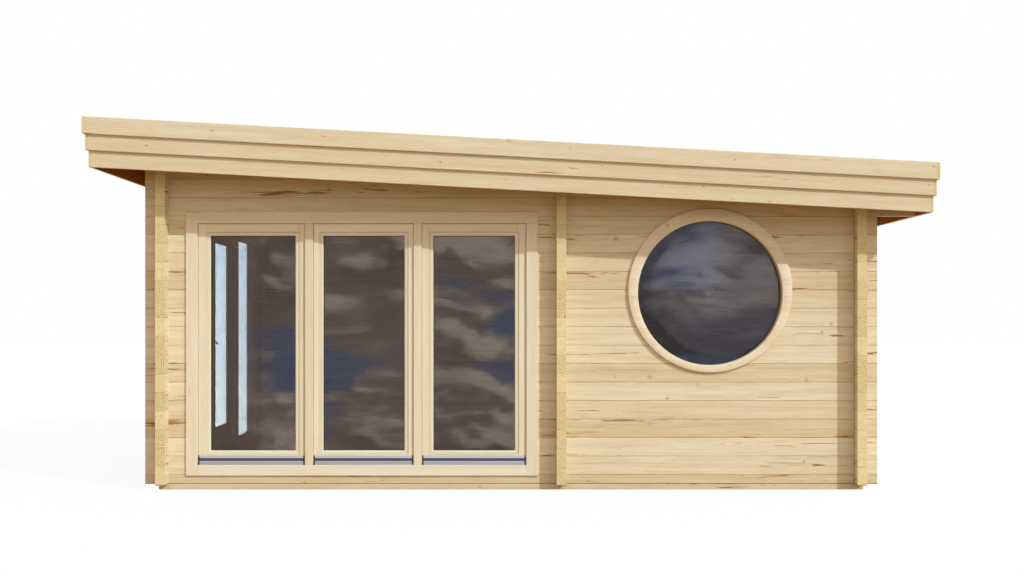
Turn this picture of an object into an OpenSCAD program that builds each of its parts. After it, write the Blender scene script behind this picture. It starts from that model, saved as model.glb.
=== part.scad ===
// Garden sauna cabin in solid logs: two rooms under one shallow mono-pitch roof.
// A glazed lounge is on the left and a room with a round window is on the right.
// The entrance door and its side light are in the left end wall.
// Axes: +X to the right along the front, +Y to the back, +Z up, ground at z = 0.
// The origin is on the ground, under the middle of the roof. Sizes are in millimetres.

/* [Log walls] */
// Length over the outer faces of the two end walls
cabin_l = 5150; // [5100:10:5250]
// Depth over the outer faces of the front and back walls
cabin_d = 3660; // [3500:10:3800]
// Thickness of a wall log
wall_t = 70; // [66:1:74]
// Height of one course of logs
course_h = 135; // [130:1:140]
// Length by which the logs run past each crossing
log_out = 100; // [60:5:140]
// Depth and half height of the V groove between two courses
groove = 4; // [2:1:6]
// Left face of the partition between the two rooms
partition_x = 330; // [320:5:420]

/* [Base and floor] */
// Height of the beams under the walls
base_h = 40; // [36:1:60]
// Top of the floor boards above the ground
floor_z = 66; // [62:1:80]
// Thickness of the floor boards
floor_t = 28; // [20:1:28]

/* [Roof] */
// Fall of the roof towards the right, in degrees
pitch = 3.07; // [2.6:0.01:3.4]
// Height of the lower edge of the fascia at mid length
roof_mid_z = 2155; // [2150:5:2250]
// Overhang of the lower fascia board past the end walls
side_over = 396; // [350:2:450]
// Overhang of the lower fascia board past the front and back walls
front_over = 356; // [300:2:400]
// Thickness of a fascia board
fascia_t = 18; // [16:1:22]
// Height of a fascia board
fascia_h = 121; // [118:1:130]
// Lower edge of the middle fascia board above that of the lowest one
middle_board_b = 117; // [110:1:118]
// Lower edge of the top fascia board above that of the lowest one
top_board_b = 230; // [220:1:235]
// Thickness of the roof boards
roof_board_t = 20; // [16:1:24]
// Thickness of the insulation on the boards
insulation_t = 100; // [60:5:110]
// Height of a purlin
purlin_h = 145; // [120:5:150]

/* [Front window] */
// Left edge of the casing
window_x = -2374; // [-2380:2:-2360]
// Lower edge of the casing
window_z = 102; // [98:1:110]
// Underside of the head of the window and of the doorway between the rooms
head_z = 1943; // [1930:1:1955]
// Width of the casing boards
casing_w = 85; // [80:1:90]
// How far the casing stands out of the wall
casing_t = 14; // [12:1:18]
// Width of the bays between the jambs and mullions, from the left
bay_w = [784, 734, 764];
// Width of a mullion
mullion_w = 59; // [50:1:70]

/* [Round window] */
// Outer radius of the ring
ring_r = 599; // [590:1:605]
// Radius of the clear opening
pane_r = 527; // [500:1:530]
// How far the ring stands out of the wall
ring_t = 20; // [14:1:22]
// Height of the middle of the opening above the ground
pane_z = 1435; // [1430:1:1450]
// How far the middle of the ring is above the middle of the opening
ring_rise = 19; // [0:1:20]

/* [Entrance] */
// Front side of the clear door opening
door_y = -403; // [-420:1:-380]
// Clear width of the door opening
door_w = 863; // [840:1:880]
// Post between the door and the side light
post_w = 45; // [45:1:60]
// Clear width of the side light
side_light_w = 795; // [600:5:820]
// Height of the threshold above the floor boards
threshold_h = 46; // [30:1:50]
// Underside of the head of the entrance
entrance_head_z = 1977; // [1960:1:1990]
// Height of the door handle above the ground
handle_z = 1050; // [980:5:1080]

/* [Hidden] */
$fn = 64;

SPRUCE = "#dcc596";
PALE_SPRUCE = "#e6d6b2";
END_BOARD = "#d9c08d";
GLASS = "#5a5c66";
ALUMINIUM = "#a9acb8";
BLACK_STEEL = "#26262a";
MEMBRANE = "#3a3b3d";
INSULATION = "#d8d4c4";

// Wall faces and room edges
xo = cabin_l / 2;
xi = xo - wall_t;
yo = cabin_d / 2;
yi = yo - wall_t;
partition_x1 = partition_x + wall_t;
wall_top = 2800; // above every wall, before the roof cuts it

// Levels of the roof, measured up from the lower edge of the fascia
deck_b = 170; // underside of the roof boards
bedding = 0.3; // play between the wall tops and the roof boards
purlin_b = deck_b - purlin_h;
insulation_b = deck_b + roof_board_t;
membrane_b = insulation_b + insulation_t;
membrane_t = 6;
fascia_bs = [0, middle_board_b, top_board_b];
fascia_top_b = top_board_b + fascia_h;
roof_x = xo + side_over - fascia_t; // inner face of the side fascias
roof_y = yo + front_over - fascia_t; // inner face of the front and back fascias
purlin_w = 70;
purlin_pitch = (cabin_d - wall_t) / 4;
eaves_joist_w = 45;
lounge_joist_pitch = 530;
sauna_joist_pitch = 646;

// Courses: the long walls start with a half log and the cross walls with a whole one
long_joint_z = base_h + course_h / 2;
cross_joint_z = base_h + course_h;
right_lookout_z = long_joint_z + 14 * course_h;
left_lookout_z = long_joint_z + 17 * course_h;

// Front window
window_w = 2 * casing_w + bay_w[0] + bay_w[1] + bay_w[2] + 2 * mullion_w;
window_x1 = window_x + window_w;
window_top = head_z + casing_w;
casing_lap = 45; // cover of a casing board on the wall
jamb_t = casing_w - casing_lap;
bay_x = [
    window_x + casing_w,
    window_x + casing_w + bay_w[0] + mullion_w,
    window_x + casing_w + bay_w[0] + bay_w[1] + 2 * mullion_w
];
sill_z = window_z + 78; // top of the lower casing board
sash_gap = 2;
sash_t = 56;
sash_face = 1; // depth of the sash's face behind the wall's face
sash_pane_in = 20; // depth of the pane behind the sash's face
// Left and right stiles of the three sashes
stiles = [[92, 73], [73, 69], [84, 85]];
top_rail = 90;
bottom_rail = 104;
pane_t = 24;
pane_lap = 12; // how far a pane runs into its frame
drip_h = 69;
drip_out = 12;

// Round window
round_x = (partition_x1 + xi) / 2;
sleeve_t = 34;
round_pane_t = 16;

// Entrance
door_y1 = door_y + door_w;
light_y = door_y1 + post_w;
light_y1 = light_y + side_light_w;
entrance_y0 = door_y - jamb_t;
entrance_y1 = light_y1 + jamb_t;
rebate = 15; // width of the stop that the door closes on
stop_t = 45; // thickness of the stop, out from the inner face of the wall
stop_x = -xi - stop_t; // outer face of the stop
entrance_casing_t = 15;
leaf_t = 40;
leaf_gap = 5;
leaf_free_gap = 7;
leaf_x = -xo - entrance_casing_t; // outer face of the leaf
leaf_y = door_y - rebate + leaf_free_gap;
leaf_y1 = door_y1 + rebate - leaf_gap;
threshold_z = floor_z + threshold_h;
leaf_z = threshold_z + leaf_gap;
head_rebate = 12;
leaf_z1 = entrance_head_z + head_rebate - leaf_gap;
leaf_stile = 85;
leaf_top_rail = 78;
leaf_bottom_rail = 186;
light_rail = 83;

// Hinges: the pin stands on the frame half and the door half drops over it
hinge_r = 7;
hinge_pin_r = 4;
hinge_clear = 0.05;
hinge_h = 50;
hinge_x = leaf_x - hinge_r;
hinge_y = (leaf_y1 + door_y1 + rebate) / 2;
hinge_plate = [3, 28];
hinge_zs = [280, 1000, 1720];

// Doorway in the partition
doorway_y = 280;
doorway_w = 760;
lining_t = 30;

// A block from (x0, y0) to (x1, y1) whose top and underside follow the roof.
// b0 and b1 are its levels above the lower edge of the fascia.
function roof_z(x, b) = roof_mid_z + b - x * tan(pitch);
module sloped(x0, x1, y0, y1, b0, b1) {
    outline = [
        [x0, roof_z(x0, b0)], [x1, roof_z(x1, b0)],
        [x1, roof_z(x1, b1)], [x0, roof_z(x0, b1)]
    ];
    translate([0, y1, 0]) rotate([90, 0, 0]) linear_extrude(y1 - y0) polygon(outline);
}

module block(low, high) {
    translate(low) cube(high - low);
}

// ---- Log walls ----

// Section of a stack of logs: a rectangle with a V groove at each joint and a chamfered foot
module log_section(z0, z1, joint_z) {
    joints = [
        for (k = [0:20]) let (z = joint_z + k * course_h) if (z > z0 + groove && z < z1 - groove) z
    ];
    up = [for (z = joints) each [[0, z - groove], [groove, z], [0, z + groove]]];
    down = [
        for (k = [len(joints) - 1:-1:0])
            each [
                [wall_t, joints[k] + groove], [wall_t - groove, joints[k]],
                [wall_t, joints[k] - groove]
            ]
    ];
    foot_l = [[groove, z0], [0, z0 + groove]];
    foot_r = [[wall_t, z0 + groove], [wall_t - groove, z0]];
    polygon(concat(foot_l, up, [[0, z1], [wall_t, z1]], down, foot_r));
}

module logs_along_x(x0, x1, y, z0, z1) {
    translate([x0, y, 0]) rotate([90, 0, 90]) linear_extrude(x1 - x0)
        log_section(z0, z1, long_joint_z);
}

module logs_along_y(y0, y1, x, z0, z1) {
    translate([x, y1, 0]) rotate([90, 0, 0]) linear_extrude(y1 - y0)
        log_section(z0, z1, cross_joint_z);
}

// Everything above the wall tops
module roof_cut() {
    sloped(-2 * xo, 2 * xo, -2 * yo, 2 * yo, deck_b - bedding, deck_b + 1500);
}

// At a crossing each log keeps its middle half and is notched for the logs above and below.
module notches(x0, x1, y0, y1, first_z) {
    for (k = [0:18]) translate([x0, y0, first_z + k * course_h])
        cube([x1 - x0, y1 - y0, course_h / 2]);
}

// Notches in a long wall, for the logs of a cross wall that starts at x
module cross_log_notches(x, y) {
    notches(x, x + wall_t, y - 1, y + wall_t + 1, base_h + course_h / 4);
}

// Notches in a cross wall, for the logs of a long wall that starts at y
module long_log_notches(x, y) {
    notches(x - 1, x + wall_t + 1, y, y + wall_t, base_h - course_h / 4);
}

// A long wall, whose upper logs run on to carry the side fascias
module long_wall(y) {
    difference() {
        union() {
            logs_along_x(-xo - log_out, xo + log_out, y, base_h, wall_top);
            logs_along_x(xo, roof_x, y, right_lookout_z, wall_top);
            logs_along_x(-roof_x, -xo, y, left_lookout_z, wall_top);
        }
        roof_cut();
        for (x = [-xo, partition_x, xi]) cross_log_notches(x, y);
    }
}

module front_wall() {
    color(SPRUCE) difference() {
        long_wall(-yo);
        block(
            [window_x + casing_lap, -yo - 10, window_z + casing_lap],
            [window_x1 - casing_lap, -yi + 10, head_z + jamb_t]
        );
        round_hole(pane_r + sleeve_t, -yo - 10, -yi + 10);
    }
}

module back_wall() {
    color(SPRUCE) long_wall(yi);
}

// A cross wall, or the stretch of it from y0 to y1 and z0 to z1
module cross_wall(x, y0, y1, z0, z1) {
    difference() {
        logs_along_y(y0, y1, x, z0, z1);
        roof_cut();
        for (y = [-yo, yi]) if (y + wall_t > y0 && y < y1) long_log_notches(x, y);
        for (k = [-1:1]) purlin(k, 1);
    }
}

module right_wall() {
    color(SPRUCE) cross_wall(xi, -yo - log_out, yo + log_out, base_h, wall_top);
}

module left_wall_front_part() {
    color(SPRUCE) cross_wall(-xo, -yo - log_out, entrance_y0, base_h, wall_top);
}

module left_wall_back_part() {
    color(SPRUCE) cross_wall(-xo, entrance_y1, yo + log_out, base_h, wall_top);
}

module left_wall_door_logs() {
    color(SPRUCE) {
        cross_wall(-xo, entrance_y0, entrance_y1, entrance_head_z + jamb_t, wall_top);
        cross_wall(-xo, entrance_y0, entrance_y1, base_h, floor_z);
    }
}

module partition_front_part() {
    color(SPRUCE) cross_wall(partition_x, -yo - log_out, doorway_y, base_h, wall_top);
}

module partition_back_part() {
    color(SPRUCE) cross_wall(partition_x, doorway_y + doorway_w, yo + log_out, base_h, wall_top);
}

module partition_door_logs() {
    color(SPRUCE) {
        cross_wall(partition_x, doorway_y, doorway_y + doorway_w, head_z + jamb_t, wall_top);
        cross_wall(partition_x, doorway_y, doorway_y + doorway_w, base_h, floor_z);
    }
}

// Boards that line the doorway between the rooms
module partition_lining() {
    lap = 12;
    top = head_z + jamb_t;
    color(PALE_SPRUCE) difference() {
        block(
            [partition_x - lap, doorway_y, floor_z],
            [partition_x1 + lap, doorway_y + doorway_w, top]
        );
        block(
            [partition_x - lap - 1, doorway_y + lining_t, floor_z - 1],
            [partition_x1 + lap + 1, doorway_y + doorway_w - lining_t, top - lining_t]
        );
    }
}

// ---- Base and floor ----

// A beam with its upper edges chamfered, along +X from the origin
module base_beam(length) {
    rotate([90, 0, 90]) linear_extrude(length) polygon([
        [0, 0], [wall_t, 0], [wall_t, base_h - groove],
        [wall_t - groove, base_h], [groove, base_h], [0, base_h - groove]
    ]);
}

module base_beams_long() {
    color(END_BOARD) for (y = [-yo, yi]) translate([-xo, y, 0]) base_beam(cabin_l);
}

module base_beams_cross() {
    color(END_BOARD) for (x = [-xo, partition_x, xi])
        translate([x + wall_t, -yi, 0]) rotate([0, 0, 90]) base_beam(2 * yi);
}

module floor_joists() {
    joist_w = 45;
    wall_gap = 60; // from a wall to the first joist
    joist_x = [
        for (k = [0:5]) -xi + wall_gap + k * lounge_joist_pitch,
        for (k = [0:3]) partition_x1 + wall_gap + k * sauna_joist_pitch
    ];
    color(END_BOARD) for (x = joist_x)
        block([x, -yi + 0.5, 0], [x + joist_w, yi - 0.5, floor_z - floor_t]);
}

module floor_lounge() {
    color(PALE_SPRUCE) block([-xi, -yi, floor_z - floor_t], [partition_x, yi, floor_z]);
}

module floor_sauna() {
    color(PALE_SPRUCE) block([partition_x1, -yi, floor_z - floor_t], [xi, yi, floor_z]);
}

// ---- Roof ----

module purlin(k, play) {
    y = k * purlin_pitch;
    sloped(-roof_x, roof_x, y - purlin_w / 2, y + purlin_w / 2, purlin_b, deck_b + play);
}

module purlins() {
    color(SPRUCE) for (k = [-1:1]) purlin(k, 0);
}

module eaves_joists() {
    color(SPRUCE) for (y = [-roof_y, roof_y - eaves_joist_w])
        sloped(-roof_x, roof_x, y, y + eaves_joist_w, purlin_b, deck_b);
}

module roof_layer(b0, b1) {
    sloped(-roof_x, roof_x, -roof_y, roof_y, b0, b1);
}

module roof_boards() {
    color(SPRUCE) roof_layer(deck_b, insulation_b);
}

module roof_insulation() {
    color(INSULATION) roof_layer(insulation_b, membrane_b);
}

module roof_membrane() {
    color(MEMBRANE) roof_layer(membrane_b, membrane_b + membrane_t);
}

// Three lapped fascia boards and the packing behind them, over the plan from (x0, y0) to
// (x1, y1). Each step up moves the faces out by one board, on the sides given by grow.
module fascia(x0, x1, y0, y1, grow_l, grow_r, grow_f, grow_b) {
    union() for (k = [0:2]) {
        out = k * fascia_t;
        sloped(
            x0 - grow_l * out, x1 + grow_r * out,
            y0 - grow_f * out, y1 + grow_b * out,
            fascia_bs[k], fascia_top_b
        );
    }
}

module fascia_front() {
    color(PALE_SPRUCE)
        fascia(-roof_x, roof_x, -roof_y - fascia_t, -roof_y, 1, 1, 1, 0);
}

module fascia_back() {
    color(PALE_SPRUCE)
        fascia(-roof_x, roof_x, roof_y, roof_y + fascia_t, 1, 1, 0, 1);
}

// Each side board laps the ends of the front and back boards of its own layer
module fascia_side(x0, left, right) {
    out_y = roof_y + fascia_t;
    difference() {
        fascia(x0, x0 + fascia_t, -out_y, out_y, left, right, 1, 1);
        fascia_front();
        fascia_back();
    }
}

module fascia_left() {
    color(PALE_SPRUCE) fascia_side(-roof_x - fascia_t, 1, 0);
}

module fascia_right() {
    color(PALE_SPRUCE) fascia_side(roof_x, 0, 1);
}

// ---- Front window ----

// A picture-frame shape in the X-Z plane, from y0 to y1
module border(outer, inner, y0, y1) {
    difference() {
        block([outer[0], y0, outer[1]], [outer[2], y1, outer[3]]);
        block([inner[0], y0 - 1, inner[1]], [inner[2], y1 + 1, inner[3]]);
    }
}

module front_window_frame() {
    bays_x1 = window_x1 - casing_w;
    lap = casing_lap;
    color(PALE_SPRUCE) union() {
        border(
            [window_x, window_z, window_x1, window_top],
            [bay_x[0], sill_z, bays_x1, head_z], -yo - casing_t, -yo
        );
        border(
            [window_x + lap, window_z + lap, window_x1 - lap, head_z + jamb_t],
            [bay_x[0], sill_z, bays_x1, head_z], -yo, -yi
        );
        for (k = [1:2])
            block([bay_x[k] - mullion_w, -yo - casing_t, sill_z], [bay_x[k], -yi, head_z]);
    }
}

module front_window_inner_trim() {
    color(PALE_SPRUCE) border(
        [window_x, window_z, window_x1, window_top],
        [bay_x[0], sill_z, window_x1 - casing_w, head_z], -yi, -yi + casing_t
    );
}

// A sash in the X-Z plane with a groove that holds its pane.
// edges is [left, bottom, right, top] and members the widths on those sides.
module glazed_frame(edges, members, y0, thick, pane_y) {
    clear = [
        edges[0] + members[0], edges[1] + members[1],
        edges[2] - members[2], edges[3] - members[3]
    ];
    difference() {
        border(edges, clear, y0, y0 + thick);
        pane(clear, pane_y);
    }
}

module pane(clear, pane_y) {
    block(
        [clear[0] - pane_lap, pane_y, clear[1] - pane_lap],
        [clear[2] + pane_lap, pane_y + pane_t, clear[3] + pane_lap]
    );
}

sash_y = -yo + sash_face;
sash_pane_y = sash_y + sash_pane_in;
function sash_edges(k) = [
    bay_x[k] + sash_gap, sill_z + sash_gap,
    bay_x[k] + bay_w[k] - sash_gap, head_z - sash_gap
];
function sash_members(k) = [
    stiles[k][0] - sash_gap, bottom_rail - sash_gap,
    stiles[k][1] - sash_gap, top_rail - sash_gap
];

module front_sash(k) {
    color(PALE_SPRUCE)
        glazed_frame(sash_edges(k), sash_members(k), sash_y, sash_t, sash_pane_y);
}

module front_window_glass() {
    color(GLASS) for (k = [0:2]) {
        e = sash_edges(k);
        m = sash_members(k);
        pane([e[0] + m[0], e[1] + m[1], e[2] - m[2], e[3] - m[3]], sash_pane_y);
    }
}

// Section of an aluminium weather bar: an upper nose, a channel and a lower nose
module drip_section(out) {
    polygon([
        [0, 0], [-out, 2], [-out, 24], [-out + 5, 30],
        [-out + 5, 44], [-out + 2, 50], [-out + 2, drip_h - 4], [0, drip_h]
    ]);
}

module front_drip_bars() {
    end_gap = 6;
    color(ALUMINIUM) for (k = [0:2])
        translate([bay_x[k] + end_gap, sash_y, sill_z])
            rotate([90, 0, 90]) linear_extrude(bay_w[k] - 2 * end_gap) drip_section(drip_out);
}

// ---- Round window ----

// A cylinder along Y about the middle of the opening
module round_hole(r, y0, y1, rise = 0) {
    translate([round_x, y1, pane_z + rise]) rotate([90, 0, 0]) cylinder(r = r, h = y1 - y0, $fn = 128);
}

module round_window_ring() {
    color(PALE_SPRUCE) difference() {
        round_hole(ring_r, -yo - ring_t, -yo, ring_rise);
        round_hole(pane_r, -yo - ring_t - 1, -yo + 1);
    }
}

module round_window_sleeve() {
    pane_front = -yi - round_pane_t;
    color(PALE_SPRUCE) difference() {
        round_hole(pane_r + sleeve_t, -yo, -yi);
        round_hole(pane_r, -yo - 1, pane_front + 1);
        round_hole(pane_r + pane_lap, pane_front, -yi + 1);
    }
}

module round_window_inner_ring() {
    color(PALE_SPRUCE) difference() {
        round_hole(ring_r, -yi, -yi + casing_t);
        round_hole(pane_r, -yi - 1, -yi + casing_t + 1);
    }
}

module round_window_glass() {
    color(GLASS) round_hole(pane_r + pane_lap, -yi - round_pane_t, -yi);
}

// ---- Entrance, in the left end wall ----

// A block given by its depth into the cabin: x from the outer face of the casing
module entrance_block(x0, x1, y0, y1, z0, z1) {
    block([x0, y0, z0], [x1, y1, z1]);
}

module entrance_frame() {
    lap = casing_lap;
    top = entrance_head_z + jamb_t;
    door_rebate_y = door_y - rebate;
    post_y = door_y1 + rebate;
    color(PALE_SPRUCE) difference() {
        union() {
            entrance_block(leaf_x, -xo, entrance_y0 - lap, entrance_y1 + lap, floor_z, top + lap);
            entrance_block(-xo, -xi, entrance_y0, entrance_y1, floor_z, top);
        }
        // room for the leaf, then the clear opening inside its stop
        entrance_block(
            leaf_x - 1, stop_x, door_rebate_y, post_y, floor_z - 1,
            entrance_head_z + head_rebate
        );
        entrance_block(stop_x - 1, -xi + 1, door_y, door_y1, floor_z - 1, entrance_head_z);
        // side light, with a groove for its pane
        entrance_block(
            leaf_x - 1, -xi + 1, light_y, light_y1, floor_z + light_rail, entrance_head_z
        );
        side_pane();
    }
}

side_pane_x = -xi - 38;
module side_pane() {
    block(
        [side_pane_x, light_y - pane_lap, floor_z + light_rail - pane_lap],
        [side_pane_x + pane_t, light_y1 + pane_lap, entrance_head_z + pane_lap]
    );
}

module side_light_glass() {
    color(GLASS) side_pane();
}

module entrance_inner_trim() {
    color(PALE_SPRUCE) difference() {
        entrance_block(
            -xi, -xi + casing_t, entrance_y0 - casing_lap, entrance_y1 + casing_lap,
            floor_z, entrance_head_z + casing_w
        );
        entrance_block(
            -xi - 1, -xi + casing_t + 1, door_y, door_y1, floor_z - 1, entrance_head_z
        );
        entrance_block(
            -xi - 1, -xi + casing_t + 1, light_y, light_y1, floor_z + light_rail,
            entrance_head_z
        );
    }
}

module entrance_threshold() {
    color(ALUMINIUM) {
        entrance_block(leaf_x, stop_x, door_y - rebate, door_y1 + rebate, floor_z, threshold_z);
        entrance_block(stop_x, -xi, door_y, door_y1, floor_z, threshold_z);
    }
}

// Turns a door part drawn in the X-Z plane, with its outer face at y = 0, into the end wall
module on_door() {
    translate([leaf_x, 0, 0]) rotate([0, 0, -90]) children();
}

// Door parts are drawn with x = -Y of the cabin, so the hinge side is on the left.
leaf_edges = [-leaf_y1, leaf_z, -leaf_y, leaf_z1];
leaf_members = [leaf_stile, leaf_bottom_rail, leaf_stile, leaf_top_rail];
leaf_clear = [
    leaf_edges[0] + leaf_members[0], leaf_edges[1] + leaf_members[1],
    leaf_edges[2] - leaf_members[2], leaf_edges[3] - leaf_members[3]
];
leaf_pane_y = 9;
handle_in = 55; // middle of the handle in from the free edge of the leaf

module door_leaf() {
    color(PALE_SPRUCE) on_door() difference() {
        glazed_frame(leaf_edges, leaf_members, 0, leaf_t, leaf_pane_y);
        translate([-leaf_y - handle_in, -1, handle_z]) rotate([-90, 0, 0]) cylinder(r = 6, h = leaf_t + 2);
    }
}

module door_glass() {
    color(GLASS) on_door() pane(leaf_clear, leaf_pane_y);
}

door_drip_in = 20; // from each edge of the leaf
door_drip_up = 10; // above the foot of the leaf
module door_drip_bar() {
    color(ALUMINIUM) on_door()
        translate([leaf_edges[0] + door_drip_in, 0, leaf_z + door_drip_up]) rotate([90, 0, 90])
            linear_extrude(leaf_edges[2] - leaf_edges[0] - 2 * door_drip_in)
                drip_section(drip_out);
}

// Lever and back plate on one face of the door; the face is at y = 0 and they stand towards -Y
module lever_set() {
    plate_t = 5;
    neck = 38;
    lever_r = 8;
    lever = 120; // its reach towards the hinges
    block([-16, -plate_t, -150], [16, 0, 55]);
    rotate([90, 0, 0]) cylinder(r = lever_r, h = neck);
    translate([-lever, -neck, 0]) rotate([0, 90, 0]) cylinder(r = lever_r, h = lever);
    translate([0, -neck, 0]) sphere(r = lever_r);
}

module door_handles() {
    color(BLACK_STEEL) on_door() translate([-leaf_y - handle_in, 0, handle_z]) {
        lever_set();
        rotate([-90, 0, 0]) cylinder(r = 5, h = leaf_t);
        translate([0, leaf_t, 0]) mirror([0, 1, 0]) lever_set();
    }
}

module door_hinge_halves() {
    color(ALUMINIUM) for (z = hinge_zs) translate([hinge_x, hinge_y, z + hinge_h + 0.5])
        difference() {
            union() {
                cylinder(r = hinge_r, h = hinge_h);
                block(
                    [hinge_r - hinge_plate[0], -hinge_plate[1], 0], [hinge_r, 0, hinge_h]
                );
            }
            translate([0, 0, -1]) cylinder(r = hinge_pin_r + hinge_clear, h = hinge_h + 2);
        }
}

module frame_hinge_halves() {
    color(ALUMINIUM) for (z = hinge_zs) translate([hinge_x, hinge_y, z]) {
        cylinder(r = hinge_r, h = hinge_h);
        cylinder(r = hinge_pin_r, h = 2 * hinge_h - 4);
        block([hinge_r - hinge_plate[0], 0, 0], [hinge_r, hinge_plate[1], hinge_h]);
    }
}

base_beams_long();
base_beams_cross();
floor_joists();
floor_lounge();
floor_sauna();
front_wall();
back_wall();
right_wall();
left_wall_front_part();
left_wall_back_part();
left_wall_door_logs();
partition_front_part();
partition_back_part();
partition_door_logs();
partition_lining();
front_window_frame();
front_window_inner_trim();
front_sash(0);  // front_sash_left
front_sash(1);  // front_sash_middle
front_sash(2);  // front_sash_right
front_window_glass();
front_drip_bars();
round_window_ring();
round_window_sleeve();
round_window_inner_ring();
round_window_glass();
entrance_frame();
entrance_inner_trim();
side_light_glass();
entrance_threshold();
frame_hinge_halves();
door_leaf();
door_glass();
door_drip_bar();
door_handles();
door_hinge_halves();
purlins();
eaves_joists();
roof_boards();
roof_insulation();
roof_membrane();
fascia_front();
fascia_back();
fascia_left();
fascia_right();
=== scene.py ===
import math
import random

import bmesh
import bpy
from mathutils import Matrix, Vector


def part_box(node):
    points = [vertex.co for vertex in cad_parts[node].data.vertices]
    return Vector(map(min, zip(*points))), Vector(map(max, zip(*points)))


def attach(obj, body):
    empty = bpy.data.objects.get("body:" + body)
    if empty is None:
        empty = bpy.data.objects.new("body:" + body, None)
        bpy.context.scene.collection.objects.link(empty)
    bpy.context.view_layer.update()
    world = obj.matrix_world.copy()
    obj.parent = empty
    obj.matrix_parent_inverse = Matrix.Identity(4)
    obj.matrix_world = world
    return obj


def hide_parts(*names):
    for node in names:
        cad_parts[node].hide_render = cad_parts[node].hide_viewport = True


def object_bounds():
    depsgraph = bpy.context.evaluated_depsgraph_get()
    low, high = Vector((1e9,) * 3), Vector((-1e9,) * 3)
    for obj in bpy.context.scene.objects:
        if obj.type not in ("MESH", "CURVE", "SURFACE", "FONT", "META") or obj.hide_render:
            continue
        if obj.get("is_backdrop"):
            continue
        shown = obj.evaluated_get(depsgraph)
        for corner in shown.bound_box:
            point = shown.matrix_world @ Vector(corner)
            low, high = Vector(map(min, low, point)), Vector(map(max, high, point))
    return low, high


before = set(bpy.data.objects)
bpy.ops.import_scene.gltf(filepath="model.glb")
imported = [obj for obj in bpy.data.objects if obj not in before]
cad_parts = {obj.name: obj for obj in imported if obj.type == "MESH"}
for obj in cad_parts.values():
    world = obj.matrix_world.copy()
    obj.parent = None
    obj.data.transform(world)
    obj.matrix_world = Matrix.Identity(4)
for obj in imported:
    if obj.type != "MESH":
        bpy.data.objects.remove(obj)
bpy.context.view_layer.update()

# ---- Base beams and joists ----
# Planed spruce beams that lie flat on the ground under every wall, with sawn joists between
# them for the floor. Bare wood: pale, matt, with soft growth lines and clear rings on cut ends.

RIGHT, INTO, UP = Vector((1, 0, 0)), Vector((0, 1, 0)), Vector((0, 0, 1))


def linear(hex_colour):
    """An sRGB hex colour as linear red, green and blue, with alpha 1."""
    parts = [int(hex_colour[i:i + 2], 16) / 255 for i in (1, 3, 5)]
    return [p / 12.92 if p <= 0.04045 else ((p + 0.055) / 1.055) ** 2.4 for p in parts] + [1.0]


def add(tree, kind, inputs=None, **settings):
    """Adds a node with its settings, gives each input a value or a link, returns its outputs."""
    node = tree.nodes.new(kind)
    for name, value in settings.items():
        setattr(node, name, value)
    for key, value in (inputs or {}).items():
        if isinstance(value, bpy.types.NodeSocket):
            tree.links.new(value, node.inputs[key])
        else:
            node.inputs[key].default_value = value
    return node.outputs


MATHS, VECTOR, RANGE = "ShaderNodeMath", "ShaderNodeVectorMath", "ShaderNodeMapRange"
NOISE, MIX, SPLIT = "ShaderNodeTexNoise", "ShaderNodeMix", "ShaderNodeSeparateXYZ"
SURFACE, FINISH = "ShaderNodeBsdfPrincipled", "ShaderNodeOutputMaterial"
# Sockets of a colour Mix node
BELOW, ABOVE, BLEND = 6, 7, 2


def new_material(name):
    """An empty material and its node tree."""
    material = bpy.data.materials.new(name)
    material.use_nodes = True
    material.node_tree.nodes.clear()
    return material, material.node_tree


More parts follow.
